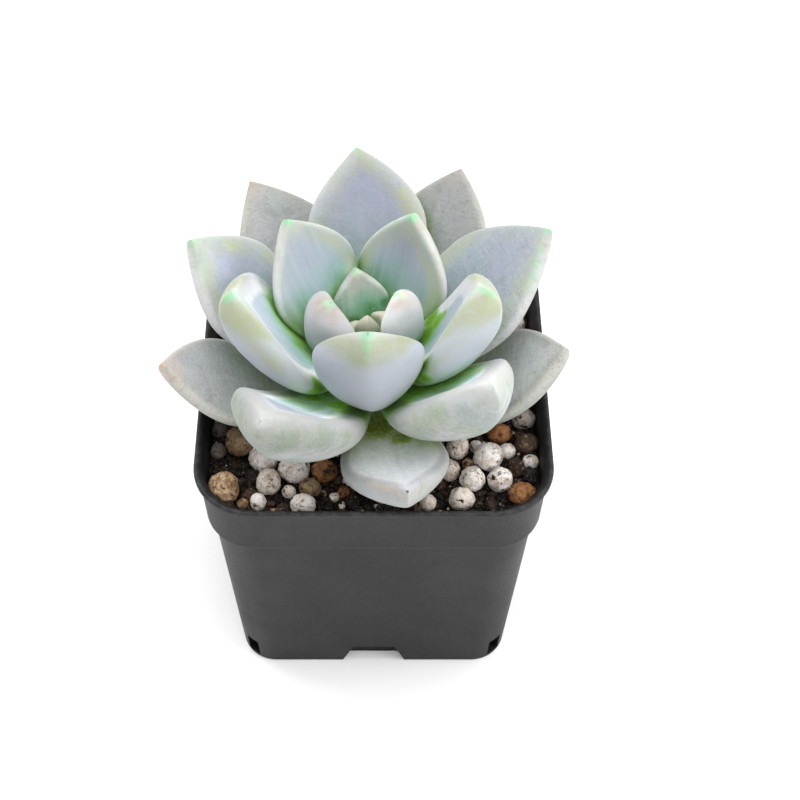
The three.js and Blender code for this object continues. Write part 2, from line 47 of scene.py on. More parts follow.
# name, azimuth, base distance, base height, length, elevation at base and tip, half width,
# widest at, thickness, cupping, roll, bend, tip shape, base width, share above the rim line
LEAVES = [
    ("bud_leaf_1", 264.22, 0.73, 75.46, 8.44, 64.35, 105.69, 2.53, 0.571, 2.46, 0.06, 0.07, 0.21, 1.81, 0.39, 0.34),
    ("bud_leaf_2", 35.06, 0.93, 74.66, 5.52, 56.39, 94.36, 2.77, 0.576, 2.68, 0.056, 2.64, 2.93, 1.89, 0.42, 0.34),
    ("bud_leaf_3", 166.02, 0.8, 74.34, 4.34, 55.53, 93.91, 2.24, 0.576, 2.57, 0.055, 1.35, 1.43, 1.91, 0.4, 0.34),
    ("inner_leaf_1", 104.05, 1.62, 73.37, 13.69, 43.25, 79.48, 5.73, 0.526, 4.42, 0.128, 0.82, 1.75, 1.58, 0.41, 0.32),
    ("inner_leaf_3", 332.63, 2.45, 73.79, 16.72, 52.17, 117.62, 5.55, 0.69, 6.2, 0.252, 1.64, 1.48, 2.22, 0.33, 0.37),
    ("inner_leaf_2", 203.79, 2.81, 73.86, 15.43, 46, 110.84, 6.61, 0.75, 6.93, 0.263, 8.81, -2.17, 2.12, 0.28, 0.33),
    ("inner_leaf_4", 270.22, 2.07, 73.46, 11.73, 36.61, 89.89, 4.91, 0.58, 4.63, 0.062, 0.86, 0.36, 1.89, 0.42, 0.34),
    ("third_ring_leaf_5", 270.79, 3.9, 71.47, 35.07, 30.72, 94.06, 10.34, 0.725, 8.31, 0.22, 5.7, -7.09, 2.32, 0.33, 0.32),
    ("third_ring_leaf_3", 201.56, 4.35, 70.33, 36.15, 31.63, 79.31, 14.28, 0.555, 7.65, 0.206, -2.07, 1.23, 1.86, 0.35, 0.39),
    ("third_ring_leaf_4", 331.74, 4.18, 71.86, 34.9, 36.65, 86.19, 11.63, 0.598, 8.63, 0.214, 9.37, -4.76, 1.98, 0.36, 0.4),
    ("third_ring_leaf_2", 58.89, 2.46, 70.34, 28.73, 37.24, 92.29, 10.56, 0.495, 5.26, 0.025, -6.25, 1.62, 1.69, 0.44, 0.35),
    ("third_ring_leaf_1", 143.47, 2.74, 71.39, 29.71, 40.53, 76.97, 11.78, 0.528, 5.26, 0.122, 2.92, -2.23, 1.71, 0.44, 0.34),
    ("second_ring_leaf_4", 243.67, 4.75, 67.76, 43.05, 17.15, 65.42, 11.82, 0.712, 9.87, 0.273, 4.25, -7.04, 2.1, 0.42, 0.51),
    ("second_ring_leaf_5", 308.83, 5.28, 68.52, 39.58, 20.38, 69.93, 12.2, 0.63, 9.95, 0.227, -2.22, -2.21, 1.69, 0.39, 0.43),
    ("second_ring_leaf_3", 162.21, 4.99, 67.9, 39.23, 22.63, 60.46, 11.88, 0.628, 7.03, 0.071, -4.27, 5.96, 1.65, 0.37, 0.38),
    ("second_ring_leaf_2", 18.72, 4.57, 68.57, 40.84, 30.04, 53.11, 13.6, 0.551, 6.88, 0.093, 0.03, -3.22, 1.71, 0.72, 0.35),
    ("second_ring_leaf_1", 89.01, 3.71, 68.95, 41.17, 21.44, 46.34, 12.33, 0.603, 7.06, 0.168, 7.65, 14.24, 1.9, 0.36, 0.34),
    ("lowest_leaf_5", 281.3, 4.66, 66.16, 36.59, -8.95, 47.57, 10.43, 0.594, 6.99, 0.055, 2.1, -2.96, 1.94, 0.32, 0.3),
    ("lowest_leaf_3", 195.58, 4.72, 64.59, 39.78, 3.12, 46.53, 10.63, 0.617, 6.12, 0.048, -3.88, -1.11, 1.95, 0.4, 0.34),
    ("lowest_leaf_4", 342.76, 4.36, 64.82, 39.16, 3.92, 54.54, 11.34, 0.585, 6.31, 0.076, 3.85, 13.02, 2.07, 0.37, 0.34),
    ("lowest_leaf_1", 122.1, 9.91, 67.83, 37.56, 16.96, 33.65, 11.2, 0.599, 5.74, 0.104, 2.95, 6.54, 1.52, 0.2, 0.33),
    ("lowest_leaf_2", 61.68, 9.27, 68.09, 37.17, 12.79, 48.52, 10.91, 0.622, 5.66, 0.124, -8.35, 6.73, 1.69, 0.22, 0.39),
]
# name, x, y, z, radius, kind
PEBBLES = [
    ("pebble_01", -31.02, -10.1, 59.24, 1.69, "grey"),
    ("pebble_02", -26.55, -14.46, 60.89, 2.85, "rust"),
    ("pebble_03", -31.03, -15.4, 59.22, 1.67, "grey"),
    ("pebble_04", -21.79, -18.08, 60.28, 2.73, "white"),
    ("pebble_05", -15.68, -20.66, 60.42, 2.82, "white"),
    ("pebble_06", -9.73, -20.99, 59.96, 2.33, "rust"),
    ("pebble_07", -29.27, -25.1, 60.34, 2.79, "tan"),
    ("pebble_08", -20.61, -23.63, 60.07, 2.52, "pink"),
    ("pebble_09", -22.54, -27.86, 59.19, 1.63, "white"),
    ("pebble_10", -25.55, -27.94, 58.61, 1.06, "tan"),
    ("pebble_11", -12.53, -24.66, 59.48, 1.93, "tan"),
    ("pebble_12", -13.69, -29.11, 59.9, 2.3, "white"),
    ("pebble_13", -16.62, -25.26, 58.9, 1.35, "pink"),
    ("pebble_14", 16.73, -15.2, 60.18, 2.36, "pink"),
    ("pebble_15", 20.54, -14.19, 58.93, 1.38, "white"),
    ("pebble_16", 25.29, -11.44, 59.77, 2.18, "rust"),
    ("pebble_17", 22.68, -17.8, 60.63, 2.74, "white"),
    ("pebble_18", 26.63, -15.43, 59.22, 1.67, "white"),
    ("pebble_19", 30.59, -14.09, 59.83, 2.17, "tan"),
    ("pebble_20", 30.25, -7.67, 59.75, 2.2, "pink"),
    ("pebble_21", 31.13, -18.12, 59.12, 1.57, "white"),
    ("pebble_22", 14.97, -20.56, 59.69, 2.14, "pink"),
    ("pebble_23", 19.37, -22.89, 60.01, 2.44, "white"),
    ("pebble_24", 24.81, -23.09, 60.12, 2.57, "white"),
    ("pebble_25", 28.94, -26.38, 59.86, 2.31, "rust"),
    ("pebble_26", 17.13, -27.55, 59.85, 2.3, "pink"),
    ("pebble_27", 10.58, -28.1, 59.18, 1.63, "pink"),
    ("pebble_28", 18.69, -18.41, 58.82, 1.27, "tan"),
    ("pebble_29", -26, 22, 60.15, 2.6, "white"),
    ("pebble_30", -14, 28, 59.95, 2.4, "rust"),
    ("pebble_31", 2, 29, 60.25, 2.7, "white"),
    ("pebble_32", 17, 27.5, 60.05, 2.5, "tan"),
    ("pebble_33", 27, 21, 60.15, 2.6, "white"),
    ("pebble_34", -29, 4, 59.95, 2.4, "tan"),
]
SOIL_TOP = 58.4
POWER_UP, POWER_LOW, KEEL = 3.0, 2.3, 0.35   # leaf section
RIM_WIDTH, HEIGHT, RIM_CORNER = 70.0, 65.1, 11.8
COLLAR_TOP, COLLAR_TOP_R = 68.6, 12.0
COLLAR_LOW, COLLAR_LOW_R = 66.85, 10.1
COLLAR_H = 14.04
BODY_TOP, BODY_TOP_R = 64.4, 9.0
BODY_LOW, BODY_LOW_R = 58.1, 7.5
WALL = 1.1
FLOOR_T = 2.0
LIP_T = 1.2
NOTCH = (14.0, 9.0, 6.6, 2.5)          # width at the ground, at the top, height, depth
SLOT = (3.2, 1.2, 7.0)                 # corner drain slot: width, lower and upper edge
SLOT_ANGLES = (49, 131, 229, 311)


# ------------------------------------------------------------------ mesh helpers
def new_object(name, verts, faces, smooth=True):
    """verts in mm."""
    me = bpy.data.meshes.new(name)
    v = np.asarray(verts, np.float64) * MM
    if isinstance(faces, np.ndarray):
        n, k = faces.shape
        me.vertices.add(len(v))
        me.vertices.foreach_set("co", v.astype(np.float32).ravel())
        me.loops.add(n * k)
        me.loops.foreach_set("vertex_index", faces.astype(np.int32).ravel())
        me.polygons.add(n)
        me.polygons.foreach_set("loop_start", np.arange(0, n * k, k, dtype=np.int32))
        me.update(calc_edges=True)
        me.validate()
    else:
        me.from_pydata([tuple(p) for p in v], [], [tuple(f) for f in faces])
        me.update()
    if smooth:
        me.polygons.foreach_set("use_smooth", np.ones(len(me.polygons), bool))
    ob = bpy.data.objects.new(name, me)
    coll.objects.link(ob)
    return ob


def set_attr(ob, name, values):
    a = ob.data.attributes.new(name, "FLOAT", "POINT")
    a.data.foreach_set("value", np.asarray(values, np.float32).ravel())


def smoothstep(a, b, x):
    t = np.clip((x - a) / (b - a), 0, 1)
    return t * t * (3 - 2 * t)


# ------------------------------------------------------------------ node helpers
def material(name):
    m = bpy.data.materials.new(name)
    m.use_nodes = True
    nt = m.node_tree
    for n in list(nt.nodes):
        nt.nodes.remove(n)
    out = nt.nodes.new("ShaderNodeOutputMaterial")
    bsdf = nt.nodes.new("ShaderNodeBsdfPrincipled")
    nt.links.new(bsdf.outputs[0], out.inputs[0])
    return m, nt, bsdf


class N:
    """Short ways to add nodes to one tree."""

    def __init__(self, nt):
        self.nt = nt

    def put(self, socket, value):
        if isinstance(value, bpy.types.NodeSocket):
            self.nt.links.new(value, socket)
        else:
            socket.default_value = value

    def attr(self, name):
        n = self.nt.nodes.new("ShaderNodeAttribute")
        n.attribute_name = name
        return n.outputs["Fac"]

    def math(self, op, a, b=0.0, c=None, clamp=False):
        n = self.nt.nodes.new("ShaderNodeMath")
        n.operation = op
        n.use_clamp = clamp
        self.put(n.inputs[0], a)
        self.put(n.inputs[1], b)
        if c is not None:
            self.put(n.inputs[2], c)
        return n.outputs[0]

    def ramp(self, fac, stops, interp="EASE"):
        n = self.nt.nodes.new("ShaderNodeValToRGB")
        n.color_ramp.interpolation = interp
        els = n.color_ramp.elements
        while len(els) < len(stops):
            els.new(0.5)
        for e, (p, c) in zip(els, stops):
            e.position = p
            e.color = (*c, 1) if len(c) == 3 else c
        self.put(n.inputs[0], fac)
        return n.outputs[0]

    def map(self, x, a, b, c=0.0, d=1.0, smooth=True):
        n = self.nt.nodes.new("ShaderNodeMapRange")
        n.interpolation_type = "SMOOTHSTEP" if smooth else "LINEAR"
        self.put(n.inputs[0], x)
        for i, v in enumerate((a, b, c, d)):
            n.inputs[i + 1].default_value = v
        return n.outputs[0]

    def mix(self, fac, a, b, mode="MIX"):
        n = self.nt.nodes.new("ShaderNodeMix")
        n.data_type = "RGBA"
        n.blend_type = mode
        n.clamp_factor = True
        self.put(n.inputs[0], fac)
        for sock, v in ((n.inputs[6], a), (n.inputs[7], b)):
            if isinstance(v, bpy.types.NodeSocket):
                self.nt.links.new(v, sock)
            else:
                sock.default_value = (*v, 1) if len(v) == 3 else v
        return n.outputs[2]

    def mix_value(self, fac, a, b):
        n = self.nt.nodes.new("ShaderNodeMix")
        n.data_type = "FLOAT"
        self.put(n.inputs[0], fac)
        self.put(n.inputs[2], a)
        self.put(n.inputs[3], b)
        return n.outputs[0]

    def noise(self, vec, scale, detail=3.0, rough=0.5, distort=0.0, dims="3D"):
        n = self.nt.nodes.new("ShaderNodeTexNoise")
        n.noise_dimensions = dims
        if vec is not None:
            self.put(n.inputs["Vector"], vec)
        n.inputs["Scale"].default_value = scale
        n.inputs["Detail"].default_value = detail
        n.inputs["Roughness"].default_value = rough
        n.inputs["Distortion"].default_value = distort
        return n.outputs["Fac"]

    def voronoi(self, vec, scale, feature="F1", rand=1.0, out="Distance"):
        n = self.nt.nodes.new("ShaderNodeTexVoronoi")
        n.feature = feature
        if vec is not None:
            self.put(n.inputs["Vector"], vec)
        n.inputs["Scale"].default_value = scale
        n.inputs["Randomness"].default_value = rand
        return n.outputs[out]

    def obj(self):
        n = self.nt.nodes.new("ShaderNodeTexCoord")
        return n.outputs["Object"]

    def combine(self, x, y, z):
        n = self.nt.nodes.new("ShaderNodeCombineXYZ")
        for s, v in zip(n.inputs, (x, y, z)):
            self.put(s, v)
        return n.outputs[0]

    def vmath(self, op, a, b):
        n = self.nt.nodes.new("ShaderNodeVectorMath")
        n.operation = op
        self.put(n.inputs[0], a)
        self.put(n.inputs[1], b)
        return n.outputs["Value" if op == "DISTANCE" else "Vector"]

    def bump(self, height, strength, distance, normal=None):
        n = self.nt.nodes.new("ShaderNodeBump")
        n.inputs["Strength"].default_value = strength
        n.inputs["Distance"].default_value = distance
        self.put(n.inputs["Height"], height)
        if normal is not None:
            self.put(n.inputs["Normal"], normal)
        return n.outputs[0]


# ------------------------------------------------------------------ leaf geometry
def leaf_frame(p, s):
    _, az, r0, z0, L, e0, e1, W, sm, T, cup, roll, bend, pt, fb, rim = p
    m = 161
    ss = np.linspace(0, 1, m)
    e = np.radians(e0 + (e1 - e0) * ss)
    a = np.radians(az + bend * ss * ss)
    t = np.stack([np.cos(e) * np.cos(a), np.cos(e) * np.sin(a), np.sin(e)], 1)
    c = np.zeros((m, 3))
    c[1:] = np.cumsum((t[1:] + t[:-1]) / 2, 0) * (L / (m - 1))
    c += AXIS + np.array([r0 * math.cos(math.radians(az)), r0 * math.sin(math.radians(az)), z0])
    sc = np.clip(s, 0, 1)
    at = lambda v: np.stack([np.interp(sc, ss, v[:, k]) for k in range(3)], 1)
    c, t = at(c), at(t)
    t /= np.linalg.norm(t, axis=1)[:, None]
    ai, ei = np.interp(sc, ss, a), np.interp(sc, ss, e)
    b = np.stack([-np.sin(ai), np.cos(ai), 0 * ai], 1)
    n = np.stack([-np.sin(ei) * np.cos(ai), -np.sin(ei) * np.sin(ai), np.cos(ei)], 1)
    r = math.radians(roll)
    c = c + t * ((s - sc) * L)[:, None]
    return c, t, b * math.cos(r) + n * math.sin(r), -b * math.sin(r) + n * math.cos(r)


def leaf_profile(p, s):
    """Half width, thickness, and how far the end drops below the line of the upper face."""
    W, sm, T, pt, fb, rim = p[7], p[8], p[9], p[13], p[14], p[15]
    lo = np.clip(s / sm, 0, 1)
    hi = np.clip((s - sm) / (1 - sm), 0, 1)
    w = W * np.where(s < sm, fb + (1 - fb) * np.sin(np.pi / 2 * lo) ** 1.35, 1 - hi**pt)
    g1 = 0.5 + 0.5 * np.sin(np.pi / 2 * np.clip(s / 0.6, 0, 1))
    g2 = np.sqrt(np.maximum(0, 1 - np.clip((s - 0.62) / 0.38, 0, 1) ** 2.8))
    return np.maximum(w, 0), T * g1 * g2, -rim * T * (1 - g2)


def section_points(na):
    """Unit section: x across, height of the upper part, fullness of the lower part."""

    def even(power, aspect, m, lower):
        a = np.linspace(0, np.pi, 2001)
        x = np.sign(np.cos(a)) * np.abs(np.cos(a)) ** (2 / power)
        z = np.abs(np.sin(a)) ** (2 / power) * aspect
        d = np.concatenate([[0], np.cumsum(np.hypot(np.diff(x), np.diff(z)))])
        t = np.linspace(0, d[-1], m + 1)[:-1]
        return np.interp(t, d, x)

    half = na // 2
    xu = even(POWER_UP, 0.35, half, False)
    xl = -even(POWER_LOW, 0.55, half, True)
    x = np.concatenate([xu, xl])
    up = np.concatenate([np.maximum(1 - np.abs(xu) ** POWER_UP, 0) ** (1 / POWER_UP), np.zeros(half)])
    full = np.maximum(1 - np.abs(xl) ** POWER_LOW, 0) ** (1 / POWER_LOW)
    keel = np.maximum(1 - np.sqrt(xl * xl + 0.01), 0) / 0.9
    low = np.concatenate([np.zeros(half), (1 - KEEL) * full + KEEL * keel])
    return x, up, low


def leaf_grid(p, ns, na, seed):
    """Closed leaf surface as a grid of stations by section points, with its surface values."""
    L, W, T, cup, rim = p[4], p[7], p[9], p[10], p[15]
    s = 1 - (1 - np.linspace(0, 1, ns)) ** 1.45     # closer stations near the tip
    s = s * 0.9985
    c, t, b, n = leaf_frame(p, s)
    w, th, drop = leaf_profile(p, s)
    # blunt little point at the tip
    nib = 0.30 * min(1.0, W / 9.0)
    w = np.maximum(w, nib * np.clip((1 - s) * L / 0.5, 0.35, 1.0))
    th = np.maximum(th, 1.7 * nib * np.clip((1 - s) * L / 0.5, 0.35, 1.0))
    x1, up1, low1 = section_points(na)
    x, up, low = x1[None], up1[None], low1[None]
    W_, T_ = w[:, None], th[:, None]
    z = drop[:, None] + cup * W_ * x * x - rim * T_ + rim * T_ * up - (1 - rim) * T_ * low
    # uneven swelling of the flesh, and a faint crease along the upper face
    S = s[:, None]
    ox, oy, oz = (seed * 7.31) % 50, (seed * 3.7) % 50, (seed * 1.9) % 50
    und = np.zeros((ns, na))
    fine = np.zeros((ns, na))
    upper = up1 > low1
    for i in range(ns):
        for j in range(na):
            q = Vector((x1[j] * w[i] * 0.15 + ox, s[i] * L * 0.09 + oy, (0.8 * up1[j] - 0.8 * low1[j]) + oz))
            und[i, j] = noise.noise(q)
            fine[i, j] = noise.noise(q * 3.3)
    body = np.sin(np.pi * np.clip(S, 0.02, 0.99)) ** 0.5
    k = min(1, W / 10)
    z = z + body * k * np.where(up > low, 0.20 * und + 0.05 * fine, -0.30 * und - 0.07 * fine) * np.maximum(up, low)
    z = z - body * k * 0.28 * np.exp(-((x * W_ / 0.9) ** 2)) * (up > low) * (1 - smoothstep(0.55, 0.9, S))
    P = c[:, None] + b[:, None] * (W_ * x)[..., None] + n[:, None] * z[..., None]
    # values
    side = np.broadcast_to(smoothstep(-0.5, 0.5, up - low), (ns, na))
    xn = np.broadcast_to(x, (ns, na))
    slope = np.gradient(w, s * L + 1e-9)
    e1 = np.linalg.norm(P - P[:, :1], axis=2)
    e2 = np.linalg.norm(P - P[:, na // 2 : na // 2 + 1], axis=2)
    edge = np.minimum(e1, e2) / np.sqrt(1 + slope[:, None] ** 2)
    tip = np.linalg.norm(P - P[-1].mean(0), axis=2)
    wall = rim * T_ * 1.05 * np.ones_like(edge)
    down = wall + edge * np.where(np.broadcast_to(up > low, edge.shape), -1.0, 1.0)      # mm below the shoulder, less than 0 on the upper face
    # mm along the skin of the outer side, from the keel, plus on one side and minus on the other
    half = na // 2
    run = np.cumsum(np.linalg.norm(np.roll(P, -1, 1) - P, axis=2), 1)
    run = np.concatenate([np.zeros((ns, 1)), run], 1)
    up_len = run[:, half : half + 1]
    low_half = (run[:, -1:] - up_len) / 2
    al = run[:, :na] - up_len - low_half
    al[:, : half // 2] = (low_half + run[:, : half // 2])
    al[:, half // 2 : half] = -(low_half + up_len - run[:, half // 2 : half])
    return s, P, dict(s=np.broadcast_to(S, (ns, na)), down=down, side=side, tip=tip, wx=xn * W_, al=al, sl=np.broadcast_to(S * L, (ns, na)))


def grid_mesh(P):
    """Vertices and faces of a closed tube of rings, with a cap vertex at each end."""
    ns, na = P.shape[:2]
    V = np.concatenate([P.reshape(-1, 3), P[0].mean(0)[None], P[-1].mean(0)[None]])
    i = np.arange(ns - 1)[:, None] * na
    j = np.arange(na)[None]
    k = (j + 1) % na
    quads = np.stack([i + j, i + k, i + na + k, i + na + j], -1).reshape(-1, 4)
    quads = quads[:, ::-1]
    A, B = ns * na, ns * na + 1
    jj = np.arange(na)
    kk = (jj + 1) % na
    cap0 = np.stack([np.full(na, A), jj, kk], 1)[:, ::-1]
    off = (ns - 1) * na
    cap1 = np.stack([np.full(na, B), off + kk, off + jj], 1)[:, ::-1]
    return V, [tuple(q) for q in quads] + [tuple(q) for q in cap0] + [tuple(q) for q in cap1]


def signed_volume(V, F):
    v = 0.0
    for f in F:
        for k in range(1, len(f) - 1):
            v += np.dot(V[f[0]], np.cross(V[f[k]], V[f[k + 1]]))
    return v / 6


# coarse leaves first, for how shut-in each place on a leaf is
coarse = {}
cv, cf = [], []
for i, p in enumerate(LEAVES):
    s, P, _ = leaf_grid(p, 22, 24, i + 1)
    coarse[p[0]] = (s, P)
    V, F = grid_mesh(P)
    o = len(cv)
    cv += [Vector(q) for q in V]
    cf += [tuple(o + k for k in f) for f in F]
tree = BVHTree.FromPolygons(cv, cf)
golden = []
for k in range(40):
    z = 1 - (2 * k + 1) / 40
    r = math.sqrt(1 - z * z)
    golden.append(Vector((r * math.cos(2.39996 * k), r * math.sin(2.39996 * k), z)))


def shut_in(P):
    ns, na = P.shape[:2]
    out = np.zeros((ns, na))
    du = np.roll(P, -1, 1) - np.roll(P, 1, 1)
    dv = np.gradient(P, axis=0)
    nr = np.cross(du, dv)
    nr /= np.linalg.norm(nr, axis=2)[..., None] + 1e-12
    if (nr * (P - P.mean((0, 1)))).sum() < 0:
        nr = -nr
    for i in range(ns):
        for j in range(na):
            n = Vector(nr[i, j])
            q = Vector(P[i, j]) + n * 0.12
            hit = tot = 0.0
            for d in golden:
                wgt = d.dot(n)
                if wgt > 0.1:
                    tot += wgt
                    h = tree.ray_cast(q, d, 22.0)
                    if h[0] is not None:
                        hit += wgt * (1 - 0.55 * h[3] / 22.0)
            out[i, j] = hit / max(tot, 1e-6)
    return out


own_tree, own_box = {}, {}
for name, (s, P) in coarse.items():
    V, F = grid_mesh(P)
    own_tree[name] = BVHTree.FromPolygons([Vector(v) for v in V], F)
    own_box[name] = (V.min(0), V.max(0))


def gap_to_others(name, P):
    """Distance to the nearest other leaf, up to 6 mm."""
    ns, na = P.shape[:2]
    out = np.full((ns, na), 6.0)
    lo, hi = own_box[name]
    near = [k for k, (a, b) in own_box.items() if k != name and np.all(a - 4 < hi) and np.all(b + 4 > lo)]
    for i in range(ns):
        for j in range(na):
            q = Vector(P[i, j])
            for k in near:
                h = own_tree[k].find_nearest(q, float(out[i, j]))
                if h[0] is not None:
                    out[i, j] = min(out[i, j], h[3])
    return out


closed_map, gap_map = {}, {}
for name, (s, P) in coarse.items():
    closed_map[name] = (s, shut_in(P))
    gap_map[name] = (s, gap_to_others(name, P))


def resample(s0, G, s1, na1):
    na0 = G.shape[1]
    rows = np.stack([np.interp(s1, s0, G[:, j]) for j in range(na0)], 1)
    pos = np.arange(na1) * na0 / na1
    i0 = np.floor(pos).astype(int) % na0
    f = pos - np.floor(pos)
    return rows[:, i0] * (1 - f) + rows[:, (i0 + 1) % na0] * f


# ------------------------------------------------------------------ leaf materials
GAIN = 0.70


def linear(v):
    v = v / 255
    return ((v + 0.055) / 1.055) ** 2.4 if v > 0.04 else v / 12.92


def tone(r, g, b):
    return tuple(GAIN * linear(v) for v in (r, g, b))


def leaf_material(name, c, patch_amount=0.5, vee=(0.0, 5.0, 8.0), rough=0.5, speck=0.3, streak=0.5, tip_size=2.0, near_size=5.0,
                  tip_amount=0.85, rim_amount=0.8):
    """c holds the colours: face, lavender, teal, white, rim, band, line, tip, near, back, patch,
    vee, fold, fold_deep, worn. vee: amount, height and half width of the patch under the tip."""
    m, nt, bsdf = material(name)
    q = N(nt)
    mul = lambda *v: v[0] if len(v) == 1 else q.math("MULTIPLY", v[0], mul(*v[1:]))
    away = lambda a, b: q.math("ABSOLUTE", q.math("SUBTRACT", a, b))
    s, down, tip, shut, gap = (q.attr(k) for k in ("s", "down", "tip", "shut", "gap"))
    wx, al, sl, rnd = (q.attr(k) for k in ("wx", "al", "sl", "rnd"))
    lift, lav, teal, worn = (q.attr(k) for k in ("lift", "lav", "teal", "worn"))
    band_at, band_amt, rim_at, rim_w, tipk, scuff = (q.attr(k) for k in ("band_at", "band_amt", "rim_at", "rim_w", "tipk", "scuff"))
    foldk, m_green, m_mauve, m_mint, m_band = (q.attr(k) for k in ("foldk", "m_green", "m_mauve", "m_mint", "m_band"))
    obj = q.obj()
    outer = q.map(down, 0.2, 1.6)
    half = q.math("MULTIPLY", outer, 7.0)
    arc = q.mix_value(outer, wx, al)       # across the leaf, along its skin
    lv = q.combine(arc, q.math("MULTIPLY", sl, 0.055), q.math("ADD", half, rnd))
    rubs = q.noise(q.combine(q.math("MULTIPLY", arc, 0.30), sl, q.math("ADD", half, rnd)), 0.60, 5.0, 0.68)
    streaks = q.mix_value(outer, q.noise(lv, 0.55, 4.0, 0.60), rubs)
    threads = q.noise(q.combine(arc, q.math("MULTIPLY", sl, 0.10), q.math("ADD", half, rnd)), 3.6, 2.0, 0.6)
    across = q.noise(q.combine(q.math("MULTIPLY", wx, 0.16), sl, rnd), 1.5, 4.0, 0.68)
    broad = q.noise(q.vmath("ADD", obj, q.combine(0.3, 0.1, 0.7)), 62.0, 2.0, 0.5)
    big = q.noise(obj, 130.0, 3.0, 0.55)
    mid = q.noise(obj, 380.0, 4.0, 0.62)
    fine = q.noise(obj, 1500.0, 3.0, 0.7)
    grain = q.noise(obj, 3400.0, 2.0, 0.6)
    wob = q.math("SUBTRACT", mid, 0.5)
    wob2 = q.math("SUBTRACT", big, 0.5)
    s3 = q.math("ADD", s, mul(wob2, 0.40))
    d2 = q.math("ADD", down, q.math("ADD", mul(wob, 1.6), mul(wob2, 1.2)))
    # upper face
    f = q.mix(mul(q.map(s3, 0.44, 0.86), lav), c["face"], c["lavender"])
    f = q.mix(mul(q.map(s3, 0.72, 0.20), teal), f, c["teal"])
    # teal where the upper face is shut in or near another leaf: partly the leaf's colour, partly painted shade
    f = q.mix(mul(q.map(shut, 0.30, 0.80), teal, 0.7), f, c["teal"])
    f = q.mix(mul(q.map(q.math("ADD", gap, mul(wob, 1.2)), 5.0, 1.2), q.map(shut, 0.20, 0.56), teal, 0.8), f, c["teal"])
    f = q.mix(mul(q.map(streaks, 0.48, 0.70), 0.50, streak), f, c["white"])
    f = q.mix(mul(q.map(streaks, 0.48, 0.30), 0.45, streak), f, c["teal"])
    f = q.mix(mul(q.map(threads, 0.50, 0.70), 0.16, streak), f, c["white"])
    f = q.mix(mul(q.map(broad, 0.50, 0.66), 0.20), f, c["lavender"])
    # outer face
    pl = q.noise(q.combine(q.math("MULTIPLY", arc, 0.42), sl, q.math("ADD", half, rnd)), 0.42, 5.0, 0.68)
    bk = q.mix(mul(q.map(s3, 0.35, 0.75), lav, 0.5), c["back"], c["lavender"])
    patch = mul(q.map(q.math("ADD", pl, mul(wob2, 0.8)), 0.28, 0.62), q.map(d2, 2.4, 4.6), q.map(s3, 0.40, 0.60))
    bk = q.mix(mul(patch, patch_amount), bk, c["patch"])
    bk = q.mix(mul(patch, q.map(pl, 0.48, 0.72), patch_amount, 0.5), bk, c["teal"])
    bk = q.mix(mul(patch, q.map(mid, 0.54, 0.70), patch_amount, 0.3), bk, c["worn"])
    bk = q.mix(mul(q.map(streaks, 0.48, 0.72), 0.10, streak), bk, c["white"])
    bk = q.mix(mul(q.map(threads, 0.54, 0.70), 0.09), bk, c["white"])
    bk = q.mix(mul(q.map(broad, 0.48, 0.34), 0.25), bk, c["lavender"])
    reach = q.math("MAXIMUM", q.math("SUBTRACT", 1.0, q.math("DIVIDE", q.math("ABSOLUTE", wx), vee[2])), 0.02)
    inside = q.math("DIVIDE", q.math("ADD", down, q.math("ADD", mul(wob, 2.2), mul(wob2, 2.0))), mul(reach, vee[1]))
    bk = q.mix(mul(q.map(inside, 1.25, 0.55), vee[0], q.map(s, 0.45, 0.7), q.map(pl, 0.30, 0.56, 0.55, 1.0)), bk, c["vee"])
    bk = q.mix(mul(q.map(s3, 0.36, 0.06), 0.8), bk, c["fold"])
    col = q.mix(outer, f, bk)
    # white rim along the shoulder, partly the powder's own white and partly a painted highlight where the shoulder
    # faces up; a duller band beside it
    fade = q.map(s, 0.06, 0.34)
    band = mul(q.map(away(d2, band_at), 2.9, 0.3), fade, q.map(broad, 0.34, 0.58, 0.25, 1.0), q.map(pl, 0.34, 0.58, 0.45, 1.0), band_amt)
    col = q.mix(mul(band, 0.8), col, c["band"])
    col = q.mix(mul(m_band, q.map(pl, 0.34, 0.60, 0.35, 1.0), 0.75), col, c["band"])
    rim = mul(q.math("SUBTRACT", 1.0, q.map(q.math("SUBTRACT", away(q.math("ADD", down, mul(wob, 0.8)), rim_at), rim_w), -0.7, 0.7)), fade)
    col = q.mix(mul(rim, rim_amount, q.map(mid, 0.30, 0.62, 0.72, 1.0)), col, c["rim"])
    # tip
    t2 = q.math("ADD", tip, mul(wob, 2.4))
    col = q.mix(mul(q.map(t2, near_size, near_size * 0.30), q.map(big, 0.36, 0.58, 0.35, 1.0), 0.65, tipk), col, c["near"])
    col = q.mix(mul(q.map(t2, tip_size, tip_size * 0.20), tip_amount, tipk), col, c["tip"])
    run = mul(q.map(q.math("ABSOLUTE", q.math("ADD", wx, mul(wob, 1.2))), 0.95, 0.10), q.map(t2, tip_size * 2.4, tip_size * 0.8), 0.30, tipk)
    col = q.mix(mul(run, tip_amount), col, c["tip"])
    along = mul(q.map(away(d2, 1.0), 1.9, 0.4), q.map(t2, tip_size * 6.0, tip_size * 1.5), q.map(q.noise(obj, 210.0, 3.0, 0.6), 0.44, 0.60), 0.28, tipk)
    col = q.mix(mul(along, tip_amount), col, c["tip"])
    col = q.mix(mul(m_mint, q.map(mid, 0.30, 0.60, 0.6, 1.0), 0.85), col, c["tip"])
    col = q.mix(mul(m_mauve, q.map(mid, 0.34, 0.60, 0.4, 1.0), 0.75), col, c["near"])
